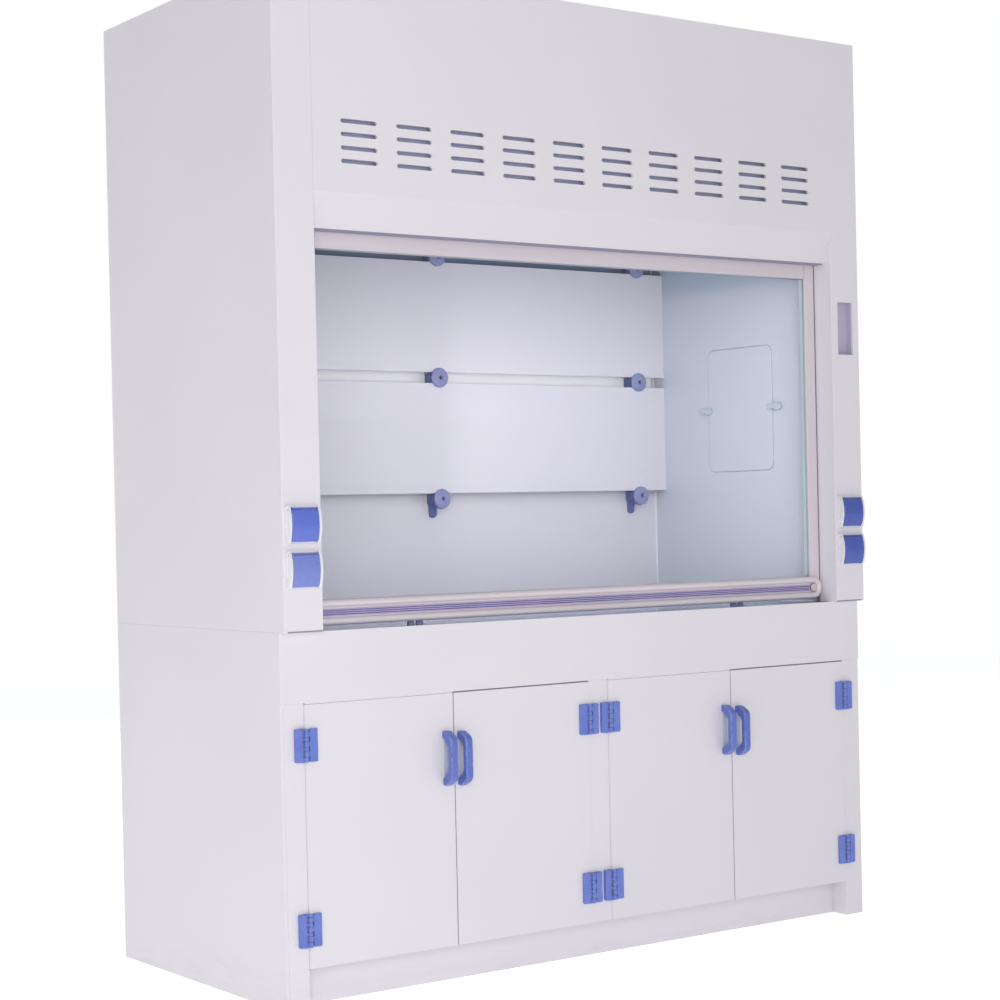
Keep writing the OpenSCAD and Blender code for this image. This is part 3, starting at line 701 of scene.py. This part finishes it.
# places taken from the frame
wallLow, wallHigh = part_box("side_liners")
sashLow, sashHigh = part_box("sash_frame")
glassLow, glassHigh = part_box("sash_glass")
topLow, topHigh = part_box("worktop")
deckLow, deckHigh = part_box("base_deck")
fasciaLow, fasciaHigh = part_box("fascia")
baffleLow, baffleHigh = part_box("baffle_panels")

# welded seams
seamValues = {"radius": 0.0032, "step": 0.018, "wobble": 0.07, "sides": 10, "bayX": 0.8, "bayBack": 0.336,
              "ceilingZ": 1.85, "ceilingBack": 0.288, "cabinetX": 0.892, "cabinetBack": 0.428,
              "underTop": -0.37, "collarRings": ((2.354, 0.125), (2.35, 0.150))}


def weldSeams():
    values = seamValues
    bay, backY, ceilingZ = values["bayX"], values["bayBack"], values["ceilingZ"]
    frontY, benchZ = wallLow.y, topHigh.z
    runs = []
    for side in (-1, 1):
        x = side * bay
        runs.append(((x, backY, benchZ), (x, backY, ceilingZ)))
        runs.append(((x, frontY, benchZ), (x, backY, benchZ)))
        runs.append(((x, frontY, ceilingZ), (x, values["ceilingBack"], ceilingZ)))
    runs.append(((-bay, backY, benchZ), (bay, backY, benchZ)))
    innerX, innerBack = values["cabinetX"], values["cabinetBack"]
    for side in (-1, 1):
        x = side * innerX
        runs.append(((x, deckLow.y, deckHigh.z), (x, innerBack, deckHigh.z)))
        runs.append(((x, innerBack, deckHigh.z), (x, innerBack, topLow.z)))
        runs.append(((x, values["underTop"], topLow.z), (x, innerBack, topLow.z)))
    runs.append(((-innerX, innerBack, deckHigh.z), (innerX, innerBack, deckHigh.z)))
    work = bmesh.new()
    for start, end in runs:
        sweep(work, stepsBetween(start, end, values["step"]), values["radius"], values["sides"],
              wobble=values["wobble"])
    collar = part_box("exhaust_collar")
    middle = (collar[0] + collar[1]) / 2
    for z, radius in values["collarRings"]:
        sweep(work, circle((middle.x, middle.y, z), radius, 120, (1, 0, 0), (0, 1, 0)), values["radius"],
              values["sides"], closed=True, wobble=values["wobble"])
    addPiece("weld_seams", work, "cabinet", "white_panel", "weldString")


weldSeams()

# sash: gaskets, corner joints and rope clamps
sashValues = {"gasketRadius": 0.0016, "sightX": 0.763, "sightLow": 0.916, "sightHigh": 1.720,
              "jointWidth": 0.0007, "jointProud": 0.00015}


def gasketLoop(work, y):
    values = sashValues
    x, low, high = values["sightX"], values["sightLow"], values["sightHigh"]
    reach = values["gasketRadius"] * 0.6
    corners = [(-x + reach, y, low + reach), (x - reach, y, low + reach),
               (x - reach, y, high - reach), (-x + reach, y, high - reach)]
    for start, end in zip(corners, corners[1:] + corners[:1]):
        sweep(work, stepsBetween(start, end, 0.12), values["gasketRadius"], 10)


def sashTrim():
    values = sashValues
    work = bmesh.new()
    gasketLoop(work, glassLow.y - values["gasketRadius"] * 0.7)
    gasketLoop(work, glassHigh.y + values["gasketRadius"] * 0.7)
    addPiece("sash_gaskets", work, "sash", "grip_inlay", "gasketGrey")
    # the top rail butts against the stiles: one hairline each side, front and back
    half, height = values["jointWidth"] / 2, sashHigh.z - values["sightHigh"] - 0.0015
    work = bmesh.new()
    for side in (-1, 1):
        for y, out in ((sashLow.y, (0, -1, 0)), (sashHigh.y, (0, 1, 0))):
            raisePlate(work, [(-half, 0), (half, 0), (half, height), (-half, height)],
                       (side * values["sightX"], y, values["sightHigh"]), (1, 0, 0), (0, 0, 1), out,
                       values["jointProud"])
    addPiece("sash_rail_joints", work, "sash", "grip_inlay", "darkHole",
             smooth=False)


sashTrim()
print("seams and sash trim made")

# ribbed inlay of the grip bar
inlayValues = {"ribs": 4, "grooveDepth": 0.0026, "grooveShare": 0.4, "leftRun": 0.022, "backDepth": 0.0083,
               "crown": 0.0009, "setBack": 0.0011, "crownSteps": 6}


def gripInlay():
    values = inlayValues
    low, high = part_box("sash_handle_inlay")
    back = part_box("sash_handle_bar")[0].y + values["backDepth"]
    front = low.y
    pitch = (high.z - low.z) / values["ribs"]
    ridge = pitch * (1.0 - values["grooveShare"])
    outline = [(back, low.z, 0)]
    z = low.z
    for k in range(values["ribs"]):
        # each rib is a low crown, then a narrow groove
        for step in range(values["crownSteps"] + 1):
            share = step / values["crownSteps"]
            crown = values["crown"] * (1.0 - (2 * share - 1) ** 2)
            outline.append((front + values["setBack"] - crown, z + ridge * share, 0))
        z += ridge
        if k < values["ribs"] - 1:
            floorY = front + values["grooveDepth"]
            outline.append((floorY, z + pitch * values["grooveShare"] * 0.18, 1))
            outline.append((floorY, z + pitch * values["grooveShare"] * 0.82, 1))
            z += pitch * values["grooveShare"]
    outline.append((back, z, 0))
    work = bmesh.new()
    rings = []
    for x in (low.x - values["leftRun"], high.x):
        rings.append([work.verts.new((x, y, zz)) for y, zz, _ in outline])
    count = len(outline)
    for k in range(count):
        nxt = (k + 1) % count
        face = work.faces.new((rings[0][k], rings[0][nxt], rings[1][nxt], rings[1][k]))
        # groove faces take the darker finish: painted shade in the grooves
        face.material_index = 1 if outline[k][2] or outline[nxt][2] else 0
    work.faces.new(list(reversed(rings[0])))
    work.faces.new(rings[1])
    inlay = addPiece("grip_inlay", work, "sash", "grip_inlay", "inlayPlastic", "inlayGroove", corner=30)
    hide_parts("sash_handle_inlay")


def mirrored(low, high, *edge):
    # the same block on the left and on the right
    return [((-high[0], *low[1:]), (-low[0], *high[1:]), *edge), (low, high, *edge)]


# thin strips: (body, slot, finish, softened outline, blocks from a low corner to a high one,
# where a block may have an outline of its own)
upperStrips = {
    # pale strips on the pane beside the stiles: the glass edge, lightened as a painted highlight where it
    # catches light
    "glass_edge_highlights": ("sash", "sash_glass", "glassEdge", 0.0002, [
        ((-0.7625, -0.3440, 0.921), (-0.7585, -0.34305, 1.7195)),
        ((0.7495, -0.3440, 0.921), (0.7625, -0.34305, 1.7195))]),
    # dark strips in the gaps at the sash's sides and head: painted shade in the gaps
    "side_gap_shades": ("cabinet", "guide", "darkTrim", 0.0003,
                   mirrored((0.7977, -0.3502, 0.8655), (0.7995, -0.3450, 1.7585))),
    "head_gap_shade": ("cabinet", "guide", "shadowTrim", 0.0003, [
        ((-0.7985, -0.3870, 1.7568), (0.7985, -0.3535, 1.7588))]),
    # dark blue-grey strips in the exhaust slot above the top baffle: painted shade in the slot
    "exhaust_throat_shade": ("cabinet", "liner", "throatGrey", 0.0003, [
        ((-0.7995, 0.3345, 1.7975), (0.7995, 0.3358, 1.9500)),
        *mirrored((0.7988, 0.2960, 1.7975), (0.7996, 0.3344, 1.8490), 0.0002),
        ((-0.7995, 0.2300, 1.8480), (0.7995, 0.2890, 1.8498))]),
    # whiter, faintly glowing strips on the back sheet, level with the slot between the baffles: painted light
    # in the slot
    "slot_backing": ("cabinet", "liner", "slotBacking", 0.0003, [
        ((low, 0.3305, 1.452), (high, 0.3358, 1.512))
        for low, high in ((-0.7995, -0.718), (-0.682, -0.018), (0.018, 0.682), (0.718, 0.785))]),
    # painted shadow line where the upper cabinet stands on the base
    "cabinet_joint_shadow": ("cabinet", "white_panel", "jointTrim", 0.0003, [
        *mirrored((0.8919, -0.4055, 0.8502), (0.8929, 0.4275, 0.8535)),
        *mirrored((0.8002, -0.4146, 0.8502), (0.8918, -0.4139, 0.8535))]),
}
# strips that close the gaps round the doors
doorStrips = {
    "door_gap_strips": ("cabinet", "white_panel", "whitePanel", 0.0003, [
        *mirrored((0.8387, -0.3882, 0.0935), (0.840, -0.372, 0.6875)),
        *mirrored((0.0295, -0.3882, 0.0935), (0.0318, -0.372, 0.6875)),
        ((-0.838, -0.3882, 0.6874), (-0.4365, -0.372, 0.690)),
        ((0.032, -0.3882, 0.6874), (0.434, -0.372, 0.690))]),
    "door_head_shadows": ("cabinet", "white_panel", "shadowTrim", 0.0003, [
        ((-0.434, -0.3842, 0.6874), (-0.032, -0.372, 0.690)),
        ((0.4365, -0.3842, 0.6874), (0.838, -0.372, 0.690))]),
    # dark strips on the free edges of doors 1 and 3: painted shade in the gap between the doors
    "door_1_edge_strip": ("door_1", "white_panel", "jointTrim", 0.0003, [
        ((-0.4365, -0.3884, 0.0925), (-0.4350, -0.3830, 0.6865))]),
    "door_3_edge_strip": ("door_3", "white_panel", "jointTrim", 0.0003, [
        ((0.4340, -0.3884, 0.0925), (0.4355, -0.3830, 0.6865))]),
}


def layStrips(strips):
    for name, (body, slotName, material, edge, blocks) in strips.items():
        work = bmesh.new()
        for low, high, *own in blocks:
            size = Vector(high) - Vector(low)
            middle = (Vector(high) + Vector(low)) / 2
            corner = own[0] if own else edge
            raisePlate(work, roundedOutline(size.x, size.z, corner, 2), (middle.x, high[1], middle.z),
                       (1, 0, 0), (0, 0, 1), (0, -1, 0), size.y, corner * 0.6)
        addPiece(name, work, body, slotName, material, smooth=False)


# the right plug ends the inlay, the left one sits further out behind the column's edge
plugValues = {"leftX": -0.7864, "leftRadius": 0.0076, "depth": 0.0060, "dish": 0.0004, "wireRadius": 0.0011,
              "ringGap": 0.0004, "ringBack": 0.0036}


def barPlugs():
    values = plugValues
    low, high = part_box("sash_end_plugs")
    middle, radius = (high.z + low.z) / 2, (high.z - low.z) / 2
    depth, dish = values["depth"], values["depth"] - values["dish"]
    work, rings = bmesh.new(), bmesh.new()
    for x, r in ((high.x - radius, radius), (values["leftX"], values["leftRadius"])):
        lathe(work, [(0.0, 0.0), (r, 0.0), (r, 0.0044), (r * 0.9, depth), (r * 0.8, dish), (0.0, dish)],
              (x, high.y, middle), (0, -1, 0), sides=40)
        # a dark ring round each plug: painted shade in the gap round it
        sweep(rings, circle((x, low.y + values["ringBack"], middle), r + values["ringGap"], 32),
              values["wireRadius"], 8, closed=True)
    plugs = addPiece("bar_plugs", work, "sash", "sash_aluminium", "plugPlastic", corner=30)
    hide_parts("sash_end_plugs")
    addPiece("plug_gap_shade_rings", rings, "sash", "sash_aluminium", "darkTrim")


# access plates: x, z, width and height on the back; x, y, width and depth on the roof
rearValues = {
    "covers": ((-0.42, 1.60, 0.76, 1.32), (0.42, 1.60, 0.76, 1.32),
               (-0.42, 0.44, 0.76, 0.62), (0.42, 0.44, 0.76, 0.62)),
    "roofCovers": ((-0.6, -0.18, 0.34, 0.24), (0.6, -0.18, 0.34, 0.24)),
    "coverDepth": 0.0012, "sunk": 0.0002, "edge": 0.0004, "corner": 0.012, "screwInset": 0.018,
    "screwPitch": 0.30, "flangeInset": 0.0125, "flangeTop": 0.0038, "flangeScrews": 8,
    "headRadius": 0.0062, "headHeight": 0.0030, "recess": 0.0024,
}


def panHead(work, place, out):
    # a low domed screw head with a round driving recess
    r, h, hole = rearValues["headRadius"], rearValues["headHeight"], rearValues["recess"]
    lathe(work, [(0.0, 0.0), (r, 0.0), (r, h * 0.35), (r * 0.8, h * 0.8), (r * 0.5, h), (hole, h),
                 (hole, h * 0.4), (0.0, h * 0.4)], place, out, sides=20)


def rearCovers():
    values = rearValues
    sunk, inset = values["sunk"], values["screwInset"]
    thick, proud = values["coverDepth"] + sunk, values["coverDepth"] - sunk
    plates, screws = bmesh.new(), bmesh.new()
    back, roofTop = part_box("upper_back")[1].y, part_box("roof")[1].z
    for x, z, width, height in values["covers"]:
        raisePlate(plates, roundedOutline(width, height, values["corner"]), (x, back - sunk, z),
                   (-1, 0, 0), (0, 0, 1), (0, 1, 0), thick, values["edge"])
        nearX, nearZ = width / 2 - inset, height / 2 - inset
        rows = max(2, round(height / values["screwPitch"]) + 1)
        for side in (-1, 0, 1):
            for k in range(rows):
                if side or k in (0, rows - 1):
                    panHead(screws, (x + side * nearX, back + proud, z - nearZ + 2 * nearZ * k / (rows - 1)),
                            (0, 1, 0))
    low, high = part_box("exhaust_collar")
    for k in range(values["flangeScrews"]):
        angle = math.tau * (k + 0.5) / values["flangeScrews"]
        reach = (high.x - low.x) / 2 - values["flangeInset"]
        panHead(screws, (reach * math.cos(angle), (low.y + high.y) / 2 + reach * math.sin(angle),
                         roofTop + values["flangeTop"]), (0, 0, 1))
    for x, y, width, depth in values["roofCovers"]:
        raisePlate(plates, roundedOutline(width, depth, values["corner"]), (x, y, roofTop - sunk),
                   (1, 0, 0), (0, 1, 0), (0, 0, 1), thick, values["edge"])
        for sideX in (-1, 1):
            for sideY in (-1, 1):
                panHead(screws, (x + sideX * (width / 2 - inset), y + sideY * (depth / 2 - inset),
                                 roofTop + proud), (0, 0, 1))
    addPiece("rear_covers", plates, "cabinet", "white_panel", "whitePanel")
    addPiece("cover_screws", screws, "cabinet", "gear_steel", "gearSteel", corner=35)


rearCovers()
gripInlay()
layStrips(upperStrips)
barPlugs()
layStrips(doorStrips)
print("access plates, bar and strips made")

# pads under the door handles
padValues = {"width": 0.0125, "shorter": 0.036, "corner": 0.002, "thick": 0.0012, "edge": 0.0004}


def handlePads():
    values = padValues
    for k in range(1, 5):
        low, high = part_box(f"door_handle_{k}")
        work = bmesh.new()
        outline = roundedOutline(values["width"], high.z - low.z - values["shorter"], values["corner"], 4)
        raisePlate(work, outline, ((low.x + high.x) / 2, high.y, (low.z + high.z) / 2),
                   (1, 0, 0), (0, 0, 1), (0, -1, 0), values["thick"], values["edge"])
        addPiece(f"handle_pad_{k}", work, f"door_{k}", "blue_fitting", "handlePad", corner=30)


handlePads()

# ropes
ropeValues = {"radius": 0.0020, "strandRadius": 0.00078, "strands": 6, "pitch": 0.020, "step": 0.0016,
              "x": 0.838, "frontY": -0.340, "rearY": -0.250, "axleY": -0.295, "axleZ": 2.285,
              "earZ": 1.720, "weightTop": 2.210, "pulleyRadius": 0.045}


def layRope(work, points, turnStart=0.0):
    # six strands laid round a core, following the points
    values = ropeValues
    points = [Vector(p) for p in points]
    lengths = [0.0]
    for a, b in zip(points, points[1:]):
        lengths.append(lengths[-1] + (b - a).length)
    frames = []
    first = None
    for i, point in enumerate(points):
        direction = (points[min(i + 1, len(points) - 1)] - points[max(i - 1, 0)]).normalized()
        if first is None:
            first, second = sideways(direction)
        else:
            first = (first - direction * first.dot(direction)).normalized()
            second = direction.cross(first).normalized()
        frames.append((first.copy(), second.copy()))
    lay = values["radius"] - values["strandRadius"]
    for strand in range(values["strands"]):
        path = []
        for point, length, (one, two) in zip(points, lengths, frames):
            turn = turnStart + math.tau * (length / values["pitch"] + strand / values["strands"])
            path.append(point + one * math.cos(turn) * lay + two * math.sin(turn) * lay)
        sweep(work, path, values["strandRadius"], 6)
    sweep(work, points, lay * 0.75, 6)


def ropes():
    values = ropeValues
    fronts, rears, wraps, clamps = bmesh.new(), bmesh.new(), bmesh.new(), bmesh.new()
    for side in (-1, 1):
        x = side * values["x"]
        layRope(fronts, stepsBetween((x, values["frontY"], values["earZ"]),
                                     (x, values["frontY"], values["axleZ"]), values["step"]))
        layRope(rears, stepsBetween((x, values["rearY"], values["weightTop"]),
                                    (x, values["rearY"], values["axleZ"]), values["step"]))
        around = [math.pi * k / 90 for k in range(91)]
        arc = [(x, values["axleY"] - values["pulleyRadius"] * math.cos(turn),
                values["axleZ"] + values["pulleyRadius"] * math.sin(turn)) for turn in around]
        layRope(wraps, arc)
        lathe(clamps, [(0, 0), (0.0042, 0), (0.0046, 0.0006), (0.0046, 0.010), (0.0036, 0.013),
                       (0.0036, 0.028), (0.0030, 0.030), (0, 0.030)],
              (x, values["frontY"], values["earZ"]), (0, 0, 1), 24)
    front = addPiece("front_ropes", fronts, None, "rope", "wireSteel")
    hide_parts("sash_cables")
    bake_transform(front)
    rear = addPiece("rear_ropes", rears, None, "rope", "wireSteel")
    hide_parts("counterweight_cables")
    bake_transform(rear)
    wrap = addPiece("rope_wraps", wraps, "cabinet", "rope", "wireSteel")
    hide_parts("cable_wraps")
    addPiece("rope_clamps", clamps, "sash", "gear_steel", "gearSteel")


ropes()
print("ropes laid")

# baffle knobs
knobValues = {"radius": 0.027, "shoulder": 0.018, "lobes": 12, "lobeDepth": 0.035, "xs": (-0.7, 0.0, 0.7),
              "zs": (1.151, 1.481, 1.811)}


def baffleKnobs():
    values = knobValues
    r, shoulder = values["radius"], values["shoulder"]

    def scallop(turn, radius):
        share = max(0.0, (radius - shoulder) / (r - shoulder))
        return 1.0 - values["lobeDepth"] * share * (0.5 - 0.5 * math.cos(values["lobes"] * turn)) ** 2

    knobs, bolts = bmesh.new(), bmesh.new()
    for x in values["xs"]:
        for z in values["zs"]:
            place = (x, baffleLow.y, z)
            lathe(knobs, [(r - 0.0012, 0), (r, 0.0008), (r, 0.0045), (r - 0.0006, 0.0058),
                          (r - 0.002, 0.0068), (shoulder, 0.0088), (0.0098, 0.0107), (0.0082, 0.0110),
                          (0.0068, 0.0109), (0.0060, 0.0102), (0.0060, 0.003), (0, 0.003)],
                  place, (0, -1, 0), 96, scallop=scallop)
            lathe(bolts, [(0.0044, 0.003), (0.0048, 0.0034), (0.0048, 0.0060), (0.0042, 0.0066), (0, 0.0066)],
                  place, (0, -1, 0), 6)
    knob = addPiece("clamp_knobs", knobs, "cabinet", "knob", "knobPlastic", corner=55)
    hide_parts("baffle_knobs")
    addPiece("clamp_bolts", bolts, "cabinet", "knob", "darkHole", corner=30)


baffleKnobs()

# sockets behind the lids
socketValues = {"xs": (-0.85, 0.85), "zs": (0.991, 1.092), "frontY": -0.414, "faceDepth": 0.012,
                "faceRadius": 0.0197, "rimRadius": 0.0188, "beadRadius": 0.0009, "pinDepth": 0.010,
                "holes": ((-0.0095, 0.0, 0.0026), (0.0095, 0.0, 0.0026), (0.0, -0.0105, 0.0018)),
                "contact": (0.0052, 0.0036, 0.0006), "contactZ": 0.0176, "contactReach": 0.0052,
                "contactEdge": 0.0006}


def holedDisc(work, place, radius, holes, depth):
    # a disc facing -Y with round holes sunk into it
    loops, edges = [], []
    for x, z, r, count in [(0.0, 0.0, radius, 64)] + [(*hole, 20) for hole in holes]:
        loop = [work.verts.new(p) for p in circle(Vector(place) + Vector((x, 0, z)), r, count)]
        loops.append(loop)
        edges += [work.edges.new((loop[k], loop[(k + 1) % count])) for k in range(count)]
    bmesh.ops.triangle_fill(work, use_beauty=True, use_dissolve=False, edges=edges)
    for loop in loops[1:]:
        deep = [work.verts.new(v.co + Vector((0, depth, 0))) for v in loop]
        closeRing(work, loop, deep, 1)
        work.faces.new(deep).material_index = 1


def sockets():
    values = socketValues
    inserts, contacts = bmesh.new(), bmesh.new()
    for x in values["xs"]:
        for z in values["zs"]:
            place = (x, values["frontY"] + values["faceDepth"], z)
            holedDisc(inserts, place, values["faceRadius"], values["holes"], values["pinDepth"])
            sweep(inserts, circle(place, values["rimRadius"], 64), values["beadRadius"], 8, closed=True)
            for side in (-1, 1):
                raisePlate(contacts, roundedOutline(*values["contact"], 3),
                           (x, place[1] - 0.0002, z + side * values["contactZ"]), (1, 0, 0), (0, 0, 1),
                           (0, -1, 0), values["contactReach"], values["contactEdge"])
    addPiece("socket_inserts", inserts, "cabinet", "socket_plate", "socketWhite", "darkHole", corner=35)
    addPiece("earth_contacts", contacts, "cabinet", "gear_steel", "contactBrass", corner=35)


sockets()
print("knobs and sockets made")

# screen behind the vent slots
ventValues = {"depth": 0.014, "low": 1.875, "high": 2.045, "reach": 0.796, "panel": 0.008, "gap": 0.0005,
              "flare": 0.018, "thick": 0.002}


def ventScreen():
    # a folded channel that carries the slotted panel's drip screen
    values = ventValues
    low, high, flare, thick = values["low"], values["high"], values["flare"], values["thick"]
    y0 = fasciaLow.y + values["panel"]
    y1 = y0 + values["depth"]
    outline = [(y0 + values["gap"], low), (y1, low - flare), (y1, high + flare), (y0 + values["gap"], high)]
    work = bmesh.new()
    rings = []
    for x in (-values["reach"], values["reach"]):
        outer = [work.verts.new((x, y, z)) for y, z in outline]
        inner = [work.verts.new((x, y + thick, z + thick * s)) for (y, z), s in zip(outline, (-1, -1, 1, 1))]
        rings.append((outer, inner))
    for k in range(3):
        a, b = rings[0][0], rings[1][0]
        c, d = rings[0][1], rings[1][1]
        work.faces.new((a[k], a[k + 1], b[k + 1], b[k]))
        work.faces.new((c[k], d[k], d[k + 1], c[k + 1]))
    for k in (0, 3):
        work.faces.new((rings[0][0][k], rings[1][0][k], rings[1][1][k], rings[0][1][k]))
    for outer, inner in rings:
        for k in range(3):
            work.faces.new((outer[k], inner[k], inner[k + 1], outer[k + 1]))
    addPiece("vent_screen", work, "cabinet", "pocket", "ventGrey", smooth=False)


ventScreen()

# gasket line round the inspection covers
coverValues = {"x": 0.7996, "y": -0.0435, "z": 1.3855, "width": 0.264, "height": 0.346, "corner": 0.022,
               "bead": 0.0016}


def coverGaskets():
    values = coverValues
    outline = roundedOutline(values["width"], values["height"], values["corner"], 8)
    work = bmesh.new()
    for side in (-1, 1):
        ring = [(side * values["x"], values["y"] + y, values["z"] + z) for y, z in outline]
        sweep(work, ring, values["bead"], 8, closed=True)
    addPiece("cover_gaskets", work, "cabinet", "liner", "gasketGrey")


coverGaskets()

# stage
stageValues = {"floorHalf": 9.0, "floorTone": (250, 250, 251), "floorCloud": (247, 247, 249),
               "floorZ": -0.0006, "glow": 0.40, "seenGlow": 0.16, "sky": (0.97, 0.98, 1.0, 1.0),
               "skyStrength": 0.46}


def makeFloor():
    values = stageValues
    material = sheetMaterial("paleFloor", linearTone(*values["floorTone"]), linearTone(*values["floorCloud"]),
                             gloss=(0.6, 0.7), cloudScale=0.8)
    shader = material.node_tree.nodes["Principled BSDF"]
    shader.inputs["Emission Color"].default_value = (1.0, 1.0, 1.0, 1.0)
    tree = material.node_tree
    seen = newNode(tree, "ShaderNodeLightPath").outputs["Is Camera Ray"]
    feed(tree, sums(tree, "MULTIPLY_ADD", seen, values["seenGlow"], values["glow"]),
         shader.inputs["Emission Strength"])
    work = bmesh.new()
    bmesh.ops.create_grid(work, x_segments=8, y_segments=8, size=values["floorHalf"])
    floor = bpy.data.objects.new("floor", meshFrom("floor", work))
    floor.location.z = values["floorZ"]
    scene.collection.objects.link(floor)
    floor.data.materials.append(material)


def addLamp(name, place, aim, size, power):
    lamp = bpy.data.lights.new(name, "AREA")
    lamp.shape = "RECTANGLE"
    lamp.size, lamp.size_y = size
    lamp.energy = power
    holder = bpy.data.objects.new(name, lamp)
    scene.collection.objects.link(holder)
    holder.location = place
    holder.rotation_euler = (Vector(aim) - Vector(place)).to_track_quat("-Z", "Y").to_euler()
    return holder


lampValues = {
    "front": {"place": (-2.75, -4.4, 1.6), "aim": (-0.9, -0.4, 1.3), "size": (2.5, 2.5), "power": 86.0},
    "left": {"place": (-4.6, 1.4, 1.0), "aim": (-0.9, 0, 0.5), "size": (2.4, 1.8), "power": 20.0},
    "rear": {"place": (1.2, 5.2, 3.6), "aim": (0, 0, 1.2), "size": (3.4, 3.0), "power": 60.0},
}
chamberLamps = {
    "left": {"place": (-0.40, -0.31, 1.33), "aim": (-0.40, 0.3, 1.33), "size": (0.76, 0.86), "power": 1.2},
    "middle": {"place": (0.36, -0.31, 1.33), "aim": (0.36, 0.3, 1.33), "size": (0.72, 0.86), "power": 1.85},
    "low": {"place": (-0.20, -0.31, 0.99), "aim": (-0.20, 0.3, 0.99), "size": (1.1, 0.18), "power": 0.6},
    "right": {"place": (0.0, -0.05, 1.34), "aim": (0.8, -0.05, 1.34), "size": (0.42, 0.56), "power": 0.55},
}


def makeStudio():
    makeFloor()
    for name, one in lampValues.items():
        addLamp("lamp_" + name, **one)
    # a soft sheet of light inside the chamber, not seen itself
    for name, one in chamberLamps.items():
        inside = addLamp("lamp_chamber_" + name, **one)
        inside.visible_camera = inside.visible_glossy = inside.visible_transmission = False
    world = bpy.data.worlds.new("studioWorld")
    world.use_nodes = True
    tree = world.node_tree
    backdrop = tree.nodes["Background"]
    feed(tree, (1.0, 1.0, 1.0, 1.0), backdrop.inputs["Color"])
    feed(tree, 1.0, backdrop.inputs["Strength"])
    soft = newNode(tree, "ShaderNodeBackground")
    feed(tree, stageValues["sky"], soft.inputs["Color"])
    feed(tree, stageValues["skyStrength"], soft.inputs["Strength"])
    mixShaders(tree, "Is Camera Ray", soft, backdrop, tree.nodes["World Output"])
    scene.world = world
    scene.view_settings.view_transform = "Standard"
    scene.view_settings.look = "None"


cameraValues = {"place": (-3.24693, -4.51903, 1.10122), "yaw": 0.6215, "pitch": -0.0110, "roll": -0.0222,
                "lens": 76.45, "sensor": 36.0, "shift": (-0.00018, 0.03903)}


def makeCamera():
    values = cameraValues
    yaw, pitch, roll = values["yaw"], values["pitch"], values["roll"]
    ahead = Vector((math.sin(yaw) * math.cos(pitch), math.cos(yaw) * math.cos(pitch), math.sin(pitch)))
    right = ahead.cross(Vector((0, 0, 1))).normalized()
    above = right.cross(ahead).normalized()
    tiltRight = right * math.cos(roll) + above * math.sin(roll)
    tiltUp = above * math.cos(roll) - right * math.sin(roll)
    camera = bpy.data.cameras.new("camera")
    camera.lens = values["lens"]
    camera.sensor_width = values["sensor"]
    camera.shift_x, camera.shift_y = values["shift"]
    camera.clip_end = 60.0
    holder = bpy.data.objects.new("camera", camera)
    scene.collection.objects.link(holder)
    turn = Matrix((tiltRight, tiltUp, -ahead)).transposed().to_4x4()
    holder.matrix_world = Matrix.Translation(Vector(values["place"])) @ turn
    scene.camera = holder


makeStudio()
makeCamera()
print("studio and camera set")

bpy.context.view_layer.update()
